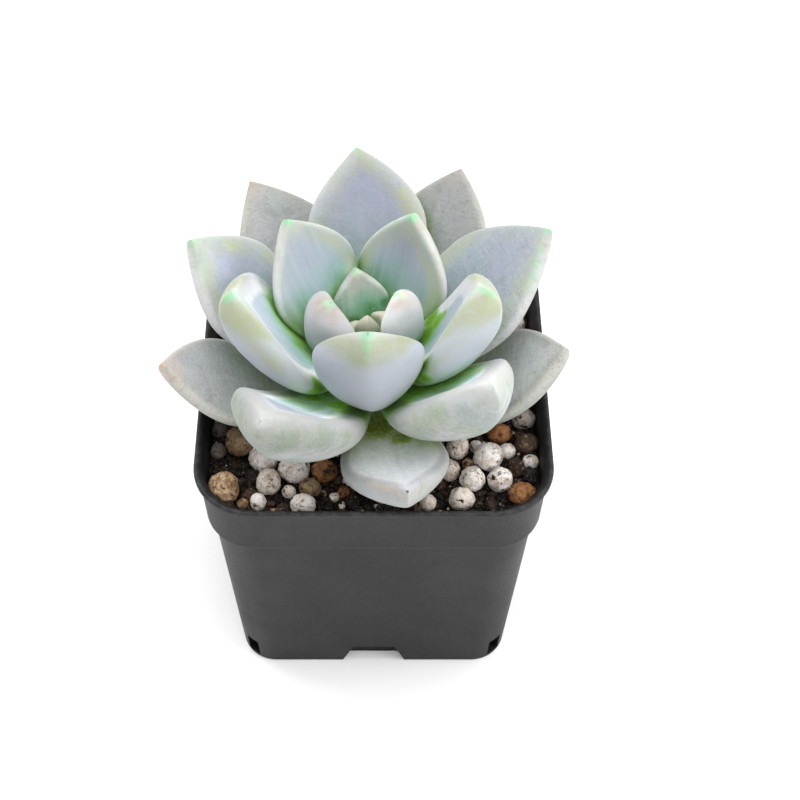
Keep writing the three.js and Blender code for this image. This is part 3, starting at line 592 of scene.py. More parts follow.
    # green in the folds between leaves, where a place is shut in and near another leaf: partly the leaf's own greener
    # base colour, partly painted shade and painted glow of light through the flesh
    g0 = mul(q.map(shut, 0.52, 0.88), q.map(s, 0.90, 0.30), 0.50, foldk)
    col = q.mix(g0, col, c["fold"])
    g1 = mul(q.map(q.math("ADD", gap, mul(wob, 1.8)), 3.4, 0.5), q.map(shut, 0.24, 0.54), q.map(s, 0.98, 0.72), 0.85, foldk)
    col = q.mix(g1, col, c["fold"])
    g2 = mul(q.map(q.math("ADD", gap, mul(wob, 0.8)), 1.8, 0.5), q.map(shut, 0.26, 0.52), q.map(s, 0.98, 0.72), q.map(foldk, 0.0, 0.8))
    col = q.mix(g2, col, c["fold_deep"])
    col = q.mix(mul(q.map(q.math("ADD", m_green, mul(wob, 0.15)), 0.02, 0.50), 0.9), col, c["fold"])
    col = q.mix(q.map(q.math("ADD", m_green, mul(wob, 0.15)), 0.28, 0.86), col, c["fold_deep"])
    # painted shade: near-black green where leaves touch and close in
    contact_shade = mul(q.map(q.math("ADD", gap, mul(wob, 0.5)), 1.0, 0.25), q.map(shut, 0.30, 0.56), q.map(s, 0.98, 0.76), 0.55)
    col = q.mix(contact_shade, col, (0.040, 0.076, 0.005))
    worn = mul(worn, q.math("SUBTRACT", 1.0, q.math("MAXIMUM", q.math("MAXIMUM", g1, g2), m_green)))
    # powder: worn specks, rubbed places and fine grain
    rub = mul(q.map(across, 0.54, 0.68), worn, 0.55)
    col = q.mix(mul(rub, speck), col, c["worn"])
    col = q.mix(mul(q.map(across, 0.46, 0.34), worn, speck, 0.6), col, c["white"])
    sp = mul(q.map(q.noise(obj, 1800.0, 4.0, 0.72), 0.53, 0.64), q.map(q.noise(obj, 240.0, 3.0, 0.6), 0.38, 0.60, 0.2, 1.0), worn)
    col = q.mix(mul(sp, speck), col, c["worn"])
    col = q.mix(mul(q.map(fine, 0.50, 0.66), speck * 0.5), col, c["white"])
    col = q.mix(mul(q.map(grain, 0.42, 0.26), speck * 0.5), col, c["worn"])
    blot = mul(q.map(q.noise(obj, 300.0, 5.0, 0.70), 0.54, 0.66), worn, 0.6)
    col = q.mix(mul(blot, speck), col, c["worn"])
    # a dry tan line and a dark point on one old leaf
    tan = mul(q.map(away(q.math("ADD", down, mul(wob, 1.6)), 1.2), 0.62, 0.10), q.map(wx, 0.8, -0.2), q.map(tip, 10.5, 8.5), q.map(mid, 0.38, 0.60, 0.15, 1.0), scuff)
    col = q.mix(mul(tan, 0.6), col, c["tan"])
    col = q.mix(mul(q.map(tip, 0.40, 0.18), scuff), col, (0.05, 0.035, 0.02))
    # times the brightness factor, which partly carries painted light on shut-in hollows and one old leaf; capped at
    # 0.92
    col = q.vmath("MINIMUM", q.vmath("MULTIPLY", col, q.combine(lift, lift, lift)), (0.92, 0.92, 0.92))
    nt.links.new(col, bsdf.inputs["Base Color"])
    nt.links.new(q.map(fine, 0.3, 0.7, rough - 0.05, rough + 0.12), bsdf.inputs["Roughness"])
    bsdf.inputs["Subsurface Weight"].default_value = 0.34
    bsdf.inputs["Subsurface Radius"].default_value = (0.8, 1.15, 0.45)
    bsdf.inputs["Subsurface Scale"].default_value = 0.0014
    bsdf.inputs["Specular IOR Level"].default_value = 0.22
    bsdf.inputs["Sheen Weight"].default_value = 0.11
    bsdf.inputs["Sheen Roughness"].default_value = 0.4
    h = q.math("ADD", mul(fine, 0.45), mul(mid, 0.55))
    b = q.bump(h, 0.35, 0.00014)
    b = q.bump(threads, 0.25, 0.00008, b)
    nt.links.new(b, bsdf.inputs["Normal"])
    return m


# brightness of upper and outer face (partly painted light, most of all the 2.2 on the upper face of lowest_leaf_5),
# lavender, teal, worn powder, where the band and the rim lie (mm below the shoulder) and how strong or wide they are,
# tip colour, dry line
TINT = {
    "lowest_leaf_1": (0.94, 0.90, 0.1, 0.75, 0.7, 0.3, 0.4, 2.0, 1.0, 0.7, 0),
    "lowest_leaf_2": (0.84, 0.82, 0.1, 0.90, 0.7, 0.3, 0.3, 2.0, 0.9, 0.5, 0),
    "lowest_leaf_3": (1.20, 1.10, 0.3, 0.6, 0.7, 0.5, 0.3, 1.6, 0.8, 1.2, 0),
    "lowest_leaf_4": (1.26, 0.90, 0.2, 0.5, 0.9, 0.3, 0.5, 1.6, 0.7, 0.15, 0),
    "lowest_leaf_5": (2.20, 1.04, 0.9, 0.1, 0.5, 3.0, 0.2, -0.4, 0.2, 0.0, 1),
    "second_ring_leaf_1": (0.69, 0.87, 0.80, 1.15, 0.40, -0.3, 1.15, 2.6, 0.9, 1.0, 0),
    "second_ring_leaf_2": (0.87, 0.88, 0.6, 0.7, 0.95, -0.2, 1.1, 2.5, 0.9, 0.75, 0),
    "second_ring_leaf_3": (1.07, 1.03, 0.7, 0.5, 0.5, -0.2, 1.1, 2.5, 0.9, 0.65, 0),
    "second_ring_leaf_4": (1.06, 0.80, 0.3, 0.7, 0.3, 4.5, 0.3, 0.3, 1.7, 0.0, 0),
    "second_ring_leaf_5": (1.06, 1.05, 0.3, 0.7, 0.3, 4.5, 0.3, 0.3, 1.3, 0.2, 0),
    "third_ring_leaf_1": (1.02, 1.00, 0.6, 0.7, 0.1, -0.4, 0.8, 1.8, 0.8, 1.0, 0),
    "third_ring_leaf_2": (1.06, 1.00, 0.9, 1.0, 0.2, -0.4, 0.9, 1.8, 0.8, 1.0, 0),
    "third_ring_leaf_3": (1.26, 1.02, 0.3, 0.7, 0.2, 3.8, 1.0, -0.4, 1.7, 0.55, 0),
    "third_ring_leaf_4": (1.04, 1.08, 0.3, 0.7, 0.2, 4.0, 0.7, -0.4, 1.7, 0.55, 0),
    "third_ring_leaf_5": (0.87, 0.93, 0.8, 0.5, 0.1, 3.0, 0.0, 0.3, 1.1, 0.6, 0),
    "inner_leaf_1": (1.32, 1.1, 0.3, 1.0, 0.15, 0.5, 0.3, 1.4, 0.6, 0.7, 0),
    "inner_leaf_2": (1.0, 1.00, 0.7, 0.3, 0.1, 2.0, 0.2, 0.6, 0.8, 1.0, 0),
    "inner_leaf_3": (1.20, 1.46, 0.7, 0.3, 0.1, 2.0, 0.2, 0.6, 0.8, 1.0, 0),
    "inner_leaf_4": (1.0, 1.0, 0.3, 0.6, 0.1, 2.0, 0.2, 0.6, 0.8, 0.5, 0),
    "bud_leaf_1": (1.3, 1.3, 0.2, 0.3, 0.1, 1.0, 0.3, 0.4, 0.3, 0.6, 0),
    "bud_leaf_2": (1.3, 1.3, 0.1, 0.5, 0.1, 1.0, 0.3, 0.4, 0.3, 0.4, 0),
    "bud_leaf_3": (1.3, 1.3, 0.1, 0.5, 0.1, 1.0, 0.3, 0.4, 0.3, 0.4, 0),
}
# fold green around a leaf (1 when not named), partly painted shade, and how much painted light brightens its shut-in
# upper face
FOLD_K = {"third_ring_leaf_1": 0.40, "third_ring_leaf_2": 0.40, "inner_leaf_1": 0.9, "lowest_leaf_5": 0.65,
          "second_ring_leaf_4": 0.7, "second_ring_leaf_5": 0.7,
          "third_ring_leaf_3": 0.55, "third_ring_leaf_4": 0.65}
PAINTED_LIGHT_K = {"second_ring_leaf_4": 1.4, "second_ring_leaf_5": 1.6, "third_ring_leaf_3": 0.35, "third_ring_leaf_4": 0.35,
          "third_ring_leaf_1": 0.3, "second_ring_leaf_1": 0.25}
# single marks: kind, place, radius, strength; green marks add fold green, partly painted shade
MARKS = [
    ("green", (11.2, 1.2, 80.6), 3.4, 1.0), ("green", (12.3, -1.5, 82.4), 2.8, 0.95), ("green", (13.4, -1.5, 84.2), 2.2, 0.55), ("green", (10.4, -2.4, 80.0), 3.6, 0.9),
    ("green", (-10.4, -16.9, 79.4), 2.8, 0.9), ("green", (-12.0, -17.8, 81.6), 1.6, 0.6), ("green", (-11.5, -13.4, 73.9), 3.4, 0.9),
    ("green", (8.6, -12.4, 74.8), 5.4, 1.0), ("green", (4.6, -18.6, 77.6), 4.2, 1.0), ("green", (8.2, -15.4, 81.8), 3.0, 0.9), ("green", (-10.8, -16.6, 80.7), 3.2, 0.9), ("green", (-3.6, -18.6, 75.8), 4.6, 1.0), ("green", (0.2, -20.4, 78.2), 2.6, 0.55), ("green", (9.6, -16.8, 84.4), 2.6, 0.9), ("green", (5.4, -16.4, 76.2), 4.2, 1.0),
    ("green", (12.0, -11.5, 76.4), 3.2, 0.7), ("green", (-2.6, -19.6, 76.0), 3.4, 1.0), ("green", (-6.2, -15.6, 74.2), 4.4, 1.0),
    ("green", (3.2, -17.8, 76.0), 3.6, 1.0), ("green", (0.8, -14.6, 66.1), 5.8, 0.8), ("green", (5.4, -18.2, 67.1), 3.2, 0.8),
    ("green", (-0.5, 6.0, 77.6), 2.6, 0.45), ("green", (2.4, 7.0, 78.4), 2.2, 0.5), 
    ("green", (-16.0, -1.6, 80.4), 2.8, 0.3), ("green", (-14.3, -4.4, 79.0), 3.0, 0.4),
    ("mauve", (-3.5, 8.2, 82.7), 1.7, 0.75), ("mauve", (-7.7, -6.1, 87.4), 1.6, 0.4), ("mauve", (4.2, -4.0, 89.6), 1.4, 0.15),
    ("mauve", (1.2, 2.4, 77.9), 1.6, 0.6),
    ("mint", (-26.9, -9.6, 98.2), 1.9, 1.0), ("mint", (21.7, -10.7, 100.6), 1.9, 1.0), ("mint", (-1.4, -21.6, 100.9), 1.9, 0.9), ("mint", (-1.3, -23.4, 100.1), 1.7, 0.8), ("mint", (-1.0, -24.8, 98.4), 1.2, 0.5), ("mint", (-8.5, -4.3, 88.6), 1.2, 0.5),
    ("mint", (5.4, -2.6, 90.7), 1.2, 0.4), ("mint", (32.1, 8.2, 92.3), 1.7, 0.5), ("mint", (31.4, 5.8, 91.0), 1.8, 0.7),
    ("mint", (30.8, 3.6, 89.7), 1.8, 0.7), ("mint", (30.1, 1.6, 88.1), 1.6, 0.45),
    ("band", (31.2, 6.3, 90.7), 2.6, 0.8), ("band", (30.0, 2.6, 88.7), 2.6, 0.8), ("band", (32.4, 9.2, 92.6), 2.4, 0.8),
]
TINT_KEYS = ("lav", "teal", "worn", "band_at", "band_amt", "rim_at", "rim_w", "tipk", "scuff")
TAN = tone(208, 192, 170)
MATS = {}
MATS["bud"] = leaf_material(
    "bud_skin_look",
    dict(face=tone(192, 194, 174), lavender=tone(196, 182, 172), teal=tone(168, 182, 148), white=tone(222, 220, 208),
         rim=tone(230, 226, 216), band=tone(200, 196, 176), line=tone(216, 210, 198), tip=tone(226, 218, 206), near=tone(196, 168, 158),
         back=tone(190, 188, 168), patch=tone(172, 178, 150), vee=tone(196, 184, 166),
         fold=tone(150, 172, 110), fold_deep=tone(104, 136, 52), worn=tone(168, 160, 140), tan=TAN),
    0.5, (0.25, 2.0, 2.0), speck=0.25, streak=0.4, tip_size=0.5, near_size=1.2, rim_amount=0.75)
MATS["inner"] = leaf_material(
    "inner_leaf_look",
    dict(face=tone(172, 188, 176), lavender=tone(200, 194, 196), teal=tone(112, 168, 136), white=tone(222, 224, 222),
         rim=tone(232, 232, 230), band=tone(190, 186, 172), line=tone(226, 226, 214), tip=tone(176, 224, 186), near=tone(186, 158, 156),
         back=tone(204, 206, 210), patch=tone(192, 190, 186), vee=tone(190, 176, 166),
         fold=tone(88, 146, 98), fold_deep=tone(58, 98, 36), worn=tone(164, 156, 148), tan=TAN),
    0.35, (0.50, 6.0, 5.0), speck=0.20, streak=0.5, tip_size=1.9, near_size=4.4, tip_amount=0.8, rim_amount=0.70)
MATS["third"] = leaf_material(
    "young_leaf_look",
    dict(face=tone(178, 194, 204), lavender=tone(186, 188, 206), teal=tone(130, 176, 158), white=tone(214, 226, 234),
         rim=tone(233, 232, 234), band=tone(194, 200, 166), line=tone(210, 214, 192), tip=tone(164, 222, 178), near=tone(206, 202, 188),
         back=tone(200, 206, 214), patch=tone(192, 202, 204), vee=tone(180, 186, 156),
         fold=tone(124, 180, 74), fold_deep=tone(104, 154, 0), worn=tone(158, 170, 172), tan=TAN),
    0.35, (1.0, 9.5, 11.5), speck=0.20, streak=0.42, tip_size=1.9, near_size=6.0)
MATS["second"] = leaf_material(
    "leaf_look",
    dict(face=tone(180, 192, 202), lavender=tone(192, 194, 218), teal=tone(150, 184, 174), white=tone(214, 222, 228),
         rim=tone(232, 231, 230), band=tone(202, 208, 174), line=tone(206, 212, 190), tip=tone(166, 222, 180), near=tone(206, 206, 190),
         back=tone(208, 208, 206), patch=tone(166, 177, 160), vee=tone(196, 202, 170),
         fold=tone(128, 184, 70), fold_deep=tone(110, 168, 0), worn=tone(148, 158, 152), tan=TAN),
    0.95, (0.25, 6.5, 9.0), speck=0.50, streak=0.42, tip_size=1.9, near_size=6.0)
MATS["lowest"] = leaf_material(
    "old_leaf_look",
    dict(face=tone(178, 182, 180), lavender=tone(184, 186, 194), teal=tone(146, 162, 156), white=tone(206, 209, 208),
         rim=tone(220, 218, 210), band=tone(194, 194, 176), line=tone(208, 204, 190), tip=tone(210, 178, 160), near=tone(204, 188, 180),
         back=tone(186, 190, 184), patch=tone(168, 174, 164), vee=tone(196, 190, 174),
         fold=tone(126, 146, 50), fold_deep=tone(98, 116, 0), worn=tone(128, 130, 124), tan=TAN),
    0.6, (0.25, 5.0, 7.0), speck=0.62, streak=0.4, tip_size=1.6, near_size=6.5, rim_amount=0.65)


# ------------------------------------------------------------------ other materials
def pot_material():
    m, nt, bsdf = material("pot_plastic_look")
    q = N(nt)
    obj = q.obj()
    big = q.noise(obj, 45.0, 4.0, 0.6)
    fine = q.noise(obj, 2600.0, 2.0, 0.5)
    streak = q.noise(q.vmath("MULTIPLY", obj, (900.0, 900.0, 60.0)), 1.0, 3.0, 0.6)
    col = q.ramp(big, [(0.30, (0.0040, 0.0041, 0.0043)), (0.70, (0.0076, 0.0077, 0.0079))])
    high = nt.nodes.new("ShaderNodeSeparateXYZ")
    nt.links.new(obj, high.inputs[0])
    # painted highlight: the top of the rim, above 64 mm, is lighter, unevenly
    rim_top_highlight = q.map(high.outputs[2], 0.0640, 0.0648)
    col = q.mix(q.math("MULTIPLY", rim_top_highlight, q.map(q.noise(obj, 520.0, 4.0, 0.7), 0.42, 0.66, 0.25, 1.0)), col, (0.034, 0.034, 0.036))
    dust = q.math("MULTIPLY", q.map(q.noise(obj, 320.0, 5.0, 0.72), 0.62, 0.80), 0.25)
    col = q.mix(dust, col, (0.060, 0.057, 0.052))
    col = q.mix(q.math("MULTIPLY", q.map(streak, 0.60, 0.75), 0.10), col, (0.050, 0.050, 0.050))
    corner = q.vmath("ABSOLUTE", obj, (0.0, 0.0, 0.0))
    far = q.vmath("DISTANCE", corner, (0.0268, 0.0284, 0.0092))
    scuff = q.math("MULTIPLY", q.map(far, 0.0046, 0.0010), q.map(q.noise(obj, 1400.0, 5.0, 0.8), 0.54, 0.68))
    col = q.mix(q.math("MULTIPLY", scuff, 0.6), col, (0.080, 0.078, 0.074))
    step = q.map(q.math("ABSOLUTE", q.math("SUBTRACT", high.outputs[2], 0.05128)), 0.00035, 0.00008)
    col = q.mix(q.math("MULTIPLY", step, q.map(q.noise(obj, 260.0, 4.0, 0.7), 0.36, 0.66, 0.35, 1.0)), col, (0.030, 0.030, 0.031))
    # painted shade: places deep in the drain slots are near black
    col = q.mix(q.attr("painted_recess_shade"), col, (0.0015, 0.0015, 0.0015))
    nt.links.new(col, bsdf.inputs["Base Color"])
    nt.links.new(q.map(q.math("ADD", q.math("MULTIPLY", big, 0.6), q.math("MULTIPLY", fine, 0.4)), 0.3, 0.7, 0.46, 0.62), bsdf.inputs["Roughness"])
    bsdf.inputs["Specular IOR Level"].default_value = 0.28
    b = q.bump(fine, 0.25, 0.00006)
    b = q.bump(big, 0.15, 0.0004, b)
    nt.links.new(b, bsdf.inputs["Normal"])
    return m


def soil_material(name="growing_mix_look", lift=1.0, lumps=False):
    m, nt, bsdf = material(name)
    q = N(nt)
    obj = q.obj()
    a = q.noise(obj, 420.0, 5.0, 0.65)
    b_ = q.noise(obj, 1500.0, 4.0, 0.7)
    c_ = q.noise(obj, 2600.0, 3.0, 0.7)
    col = q.ramp(a, [(0.34, (0.0022 * lift, 0.0015 * lift, 0.0011 * lift)), (0.52, (0.008 * lift, 0.005 * lift, 0.0035 * lift)),
                     (0.66, (0.030 * lift, 0.017 * lift, 0.010 * lift)), (0.80, (0.095 * lift, 0.056 * lift, 0.032 * lift))])
    col = q.mix(q.math("MULTIPLY", q.map(b_, 0.57, 0.66), 0.55), col, (0.12 * lift, 0.070 * lift, 0.042 * lift))
    col = q.mix(q.math("MULTIPLY", q.map(c_, 0.62, 0.68), 0.80), col, (0.46 * lift, 0.34 * lift, 0.25 * lift))
    # painted shade: the bed darkens to near black from 50 mm down to 20 mm, where it is seen through the drain holes
    deep = nt.nodes.new("ShaderNodeSeparateXYZ")
    nt.links.new(obj, deep.inputs[0])
    col = q.mix(q.map(deep.outputs[2], 0.050, 0.020), col, (0.002, 0.0015, 0.001))
    if lumps:
        own = q.map(q.attr("rnd"), 0.45, 1.0, 0.6, 2.0)
        col = q.vmath("MULTIPLY", col, q.combine(own, own, own))
        warm = q.math("MULTIPLY", q.map(q.attr("rnd"), 0.62, 0.90), q.map(a, 0.44, 0.62, 0.2, 0.7))
        col = q.mix(warm, col, (0.105, 0.050, 0.026))
    nt.links.new(col, bsdf.inputs["Base Color"])
    nt.links.new(q.map(b_, 0.40, 0.62, 0.16, 0.70), bsdf.inputs["Roughness"])
    bsdf.inputs["Specular IOR Level"].default_value = 0.34 if lumps else 0.22
    b = q.bump(b_, 1.0, 0.0007)
    b = q.bump(a, 1.0, 0.0012, b)
    nt.links.new(b, bsdf.inputs["Normal"])
    return m


def pellet_material(name, base, dark, pit, stain, pit_amount=0.5, rough=0.8, cover=0.0):
    m, nt, bsdf = material(name)
    q = N(nt)
    obj = q.obj()
    rnd, shade = q.attr("rnd"), q.attr("shade")
    off = q.vmath("ADD", obj, q.combine(rnd, rnd, rnd))
    big = q.noise(off, 260.0, 4.0, 0.6)
    mid = q.noise(off, 640.0, 5.0, 0.72)
    fine = q.noise(obj, 1500.0, 5.0, 0.75)
    col = q.mix(q.math("MULTIPLY", q.map(big, 0.50 - cover, 0.70 - cover), 0.75 + cover), base, dark)
    col = q.mix(q.math("MULTIPLY", q.map(mid, 0.52 - 0.3 * cover, 0.62), 0.75 + cover), col, stain)
    col = q.mix(q.math("MULTIPLY", q.map(fine, 0.54, 0.66), 0.30), col, dark)
    col = q.mix(q.math("MULTIPLY", q.map(q.noise(off, 1000.0, 4.0, 0.7), 0.58, 0.66), 0.70), col, dark)
    brown = (pit[0] * 3.2, pit[1] * 2.8, pit[2] * 2.4)
    col = q.mix(q.math("MULTIPLY", q.map(q.noise(off, 1900.0, 3.0, 0.7), 0.60, 0.67), pit_amount), col, brown)
    bent = q.vmath("ADD", off, q.vmath("MULTIPLY", q.combine(mid, fine, big), (0.0016, 0.0016, 0.0016)))
    cracks = q.math("MULTIPLY", q.map(q.voronoi(bent, 520.0, "DISTANCE_TO_EDGE"), 0.045, 0.008), q.map(q.noise(off, 300.0, 2.0, 0.5), 0.55, 0.66))
    spots = q.math("MULTIPLY", q.map(q.voronoi(bent, 640.0), 0.26, 0.10), q.map(q.noise(off, 340.0, 3.0, 0.6), 0.53, 0.62))
    specks = q.math("MULTIPLY", q.map(q.voronoi(bent, 1500.0), 0.27, 0.14), q.map(q.noise(off, 620.0, 2.0), 0.52, 0.64))
    halo = q.math("MULTIPLY", q.map(q.voronoi(bent, 640.0), 0.55, 0.28), q.map(q.noise(off, 340.0, 3.0, 0.6), 0.50, 0.60))
    col = q.mix(q.math("MULTIPLY", halo, 0.55), col, dark)
    col = q.mix(q.math("MULTIPLY", spots, pit_amount * 0.45), col, pit)
    col = q.mix(q.math("MULTIPLY", specks, pit_amount * 0.40), col, pit)
    col = q.mix(q.math("MULTIPLY", cracks, pit_amount * 0.45), col, pit)
    pits = q.attr("pit")
    col = q.mix(q.math("MULTIPLY", q.map(pits, 0.02, 0.25), 0.5), col, dark)
    col = q.mix(q.map(q.math("ADD", pits, q.math("MULTIPLY", q.math("SUBTRACT", fine, 0.5), 0.5)), 0.25, 0.70), col, pit)
    col = q.vmath("MULTIPLY", col, q.combine(shade, shade, shade))
    nt.links.new(col, bsdf.inputs["Base Color"])
    nt.links.new(q.map(fine, 0.3, 0.7, rough - 0.12, rough + 0.10), bsdf.inputs["Roughness"])
    bsdf.inputs["Specular IOR Level"].default_value = 0.3
    b = q.bump(fine, 0.9, 0.0003)
    b = q.bump(mid, 0.6, 0.0005, b)
    b = q.bump(q.math("MULTIPLY", q.math("ADD", spots, cracks), -1.0), 0.8, 0.0004, b)
    nt.links.new(b, bsdf.inputs["Normal"])
    return m


MATS["pot"] = pot_material()
MATS["soil"] = soil_material()
MATS["crumb"] = soil_material("crumb_look", 1.7, True)
MATS["clod"] = pellet_material("pellet_clod_look", (0.075, 0.048, 0.032), (0.018, 0.011, 0.007), (0.006, 0.004, 0.003), (0.34, 0.22, 0.13), 0.9, 0.6, 0.02)
MATS["white"] = pellet_material("pellet_white_look", (0.90, 0.865, 0.83), (0.42, 0.30, 0.21), (0.030, 0.017, 0.011), (0.68, 0.54, 0.42), 1.0)
MATS["pink"] = pellet_material("pellet_pink_look", (0.80, 0.72, 0.65), (0.34, 0.24, 0.17), (0.030, 0.016, 0.010), (0.58, 0.45, 0.35), 1.0)
MATS["tan"] = pellet_material("pellet_tan_look", (0.60, 0.42, 0.25), (0.17, 0.080, 0.034), (0.034, 0.018, 0.010), (0.40, 0.22, 0.10), 0.9, 0.55, 0.05)
MATS["rust"] = pellet_material("pellet_rust_look", (0.34, 0.150, 0.050), (0.050, 0.020, 0.009), (0.016, 0.009, 0.006), (0.42, 0.20, 0.07), 0.85, 0.55, 0.09)
MATS["grey"] = pellet_material("pellet_grey_look", (0.19, 0.155, 0.13), (0.08, 0.062, 0.050), (0.016, 0.011, 0.009), (0.28, 0.22, 0.17), 0.8)


def stem_material():
    m, nt, bsdf = material("stem_look")
    q = N(nt)
    obj = q.obj()
    a = q.noise(obj, 500.0, 4.0, 0.6)
    col = q.ramp(a, [(0.3, (0.10, 0.10, 0.04)), (0.6, (0.22, 0.19, 0.10)), (0.8, (0.34, 0.28, 0.18))])
    nt.links.new(col, bsdf.inputs["Base Color"])
    nt.links.new(q.map(a, 0.3, 0.7, 0.6, 0.85), bsdf.inputs["Roughness"])
    nt.links.new(q.bump(a, 0.5, 0.0004), bsdf.inputs["Normal"])
    return m


MATS["stem"] = stem_material()


# ------------------------------------------------------------------ leaves
NS, NA = ((96, 64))
LOOKS = {"bud": "bud", "inn": "inner", "thi": "third", "sec": "second", "low": "lowest"}
for i, p in enumerate(LEAVES):
    name = p[0]
    ns, na = (NS // 2, NA // 2) if name.startswith("bud") else (NS, NA)
    s, P, vals = leaf_grid(p, ns, na, i + 1)
    V, F = grid_mesh(P)
    if signed_volume(V, F) < 0:
        F = [f[::-1] for f in F]
    ob = new_object(name + "_skin", V, F)
    s0, G = closed_map[name]
    vals["shut"] = resample(s0, G, s, na)
    vals["gap"] = resample(s0, gap_map[name][1], s, na)
    for key, v in zip(TINT_KEYS, TINT[name][2:]):
        vals[key] = np.full((ns, na), float(v))
    lift_in, lift_out = TINT[name][:2]
    out_amt = smoothstep(-1.5, 1.2, vals["down"])
    # painted light: shut-in parts of the upper face are brightened
    painted_light = 1 + PAINTED_LIGHT_K.get(name, 0.0) * smoothstep(0.34, 0.58, vals["shut"]) * (1 - out_amt)
    vals["lift"] = (lift_in * painted_light) * (1 - out_amt) + lift_out * out_amt
    # painted light on lowest_leaf_5: upper face a little darker near the tip, whole leaf darker towards the base
    if name == "lowest_leaf_5":
        vals["lift"] = vals["lift"] * (1 - 0.22 * smoothstep(0.70, 0.95, vals["s"]) * (1 - out_amt)) * (0.80 + 0.24 * smoothstep(0.30, 0.50, vals["s"]))
    vals["foldk"] = np.full((ns, na), FOLD_K.get(name, 1.0))
    for kind in ("green", "mauve", "mint", "band"):
        g = np.zeros((ns, na))
        for k_, at, rad, amt in MARKS:
            if k_ == kind:
                g = np.maximum(g, amt * (1 - smoothstep(0.15, 1.0, np.linalg.norm(P - np.array(at), axis=2) / rad)))
        vals["m_" + kind] = g
    vals["rnd"] = np.full((ns, na), (i * 1.618) % 7.0)
    for k, g in vals.items():
        flat = np.concatenate([g.ravel(), [g[0].mean(), g[-1].mean()]])
        set_attr(ob, k, flat)
    ob.data.materials.append(MATS[LOOKS[name[:3]]])
    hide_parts(name)
    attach(ob, "root")


# ------------------------------------------------------------------ rounded squares
def rounded_square(width, radius, z, steps, side_steps=1):
    """Points of a rounded square, counter-clockwise from the +X side."""
    pts = []
    c = width / 2 - radius
    for corner, (sx, sy) in enumerate(((1, 1), (-1, 1), (-1, -1), (1, -1))):
        for k in range(steps + 1):
            a = (corner + k / steps) * math.pi / 2
            pts.append((sx * c + radius * math.cos(a), sy * c + radius * math.sin(a), z))
        if side_steps > 1:
            a = (corner + 1) * math.pi / 2
            p0 = pts[-1]
            nsx, nsy = ((-1, 1), (-1, -1), (1, -1), (1, 1))[corner]
            p1 = (nsx * c + radius * math.cos(a), nsy * c + radius * math.sin(a), z)
            for k in range(1, side_steps):
                f = k / side_steps
                pts.append((p0[0] + (p1[0] - p0[0]) * f, p0[1] + (p1[1] - p0[1]) * f, z))
    return np.array(pts)


def loft_object(name, rings, steps=16, closed_caps=True):
    R = np.array([rounded_square(w, r, z, steps) for z, w, r in rings])
    n, k = R.shape[:2]
    V = list(R.reshape(-1, 3))
    F = []
    for i in range(n - 1):
        for j in range(k):
            j2 = (j + 1) % k
            F.append((i * k + j, i * k + j2, (i + 1) * k + j2, (i + 1) * k + j))
    F.append(tuple(range(k))[::-1])
    F.append(tuple((n - 1) * k + j for j in range(k)))
    return new_object(name, np.array(V), F, smooth=False)


# ------------------------------------------------------------------ pot
zb = HEIGHT - COLLAR_H


def arc(z0, w0, z1, w1, r0, r1, n=4, out=True):
    """A quarter round between two ring sizes, for softened edges."""
    rows = []
    for k in range(n + 1):
        t = k / n * math.pi / 2
        f, g = (math.sin(t), 1 - math.cos(t)) if out else (1 - math.cos(t), math.sin(t))
        rows.append((z0 + (z1 - z0) * g, w0 + (w1 - w0) * f, r0 + (r1 - r0) * f))
    return rows


lip0 = HEIGHT - LIP_T
outer = []
outer += arc(0.0, BODY_LOW - 1.1, 0.7, BODY_LOW, BODY_LOW_R - 0.55, BODY_LOW_R)
outer += [(zb - 0.3, BODY_TOP - 0.02, BODY_TOP_R)]
outer += [(zb - 0.05, BODY_TOP + 0.1, BODY_TOP_R)]
outer += arc(zb, COLLAR_LOW - 0.8, zb + 0.45, COLLAR_LOW, COLLAR_LOW_R - 0.4, COLLAR_LOW_R)
outer += [(lip0 - 0.35, COLLAR_TOP - 0.05, COLLAR_TOP_R), (lip0 - 0.1, COLLAR_TOP + 0.1, COLLAR_TOP_R)]
outer += arc(lip0, RIM_WIDTH - 0.55, lip0 + 0.35, RIM_WIDTH, RIM_CORNER - 0.27, RIM_CORNER)
outer += [(HEIGHT - 0.4, RIM_WIDTH, RIM_CORNER)]
outer += [(HEIGHT - 0.4 + 0.4 * math.sin(t), RIM_WIDTH - 0.8 * (1 - math.cos(t)), RIM_CORNER - 0.4 * (1 - math.cos(t))) for t in (0.4, 0.8, 1.2, math.pi / 2)]
lip_in = 67.8
inner = []
inner += [(HEIGHT + 2, lip_in + 1.2, COLLAR_TOP_R - WALL + 0.5), (HEIGHT + 0.02, lip_in + 0.9, COLLAR_TOP_R - WALL + 0.4)]
inner += [(HEIGHT - 0.12, lip_in + 0.45, COLLAR_TOP_R - WALL + 0.2), (HEIGHT - 0.4, lip_in + 0.08, COLLAR_TOP_R - WALL)]
inner += [(lip0 - 0.2, COLLAR_TOP - 2 * WALL, COLLAR_TOP_R - WALL)]
inner += [(zb + 1.3, COLLAR_LOW - 2 * WALL + 0.05, COLLAR_LOW_R - WALL), (zb + 0.9, COLLAR_LOW - 2 * WALL - 0.3, COLLAR_LOW_R - WALL - 0.1)]
inner += [(zb - 0.9, BODY_TOP - 2 * WALL + 0.1, BODY_TOP_R - WALL)]
inner += [(FLOOR_T + 0.5, BODY_LOW - 2 * WALL + 0.2, BODY_LOW_R - WALL), (FLOOR_T, BODY_LOW - 2 * WALL - 0.6, BODY_LOW_R - WALL - 0.4)]
pot = loft_object("pot_shell", outer)
cavity = loft_object("pot_cavity_tool", inner[::-1])


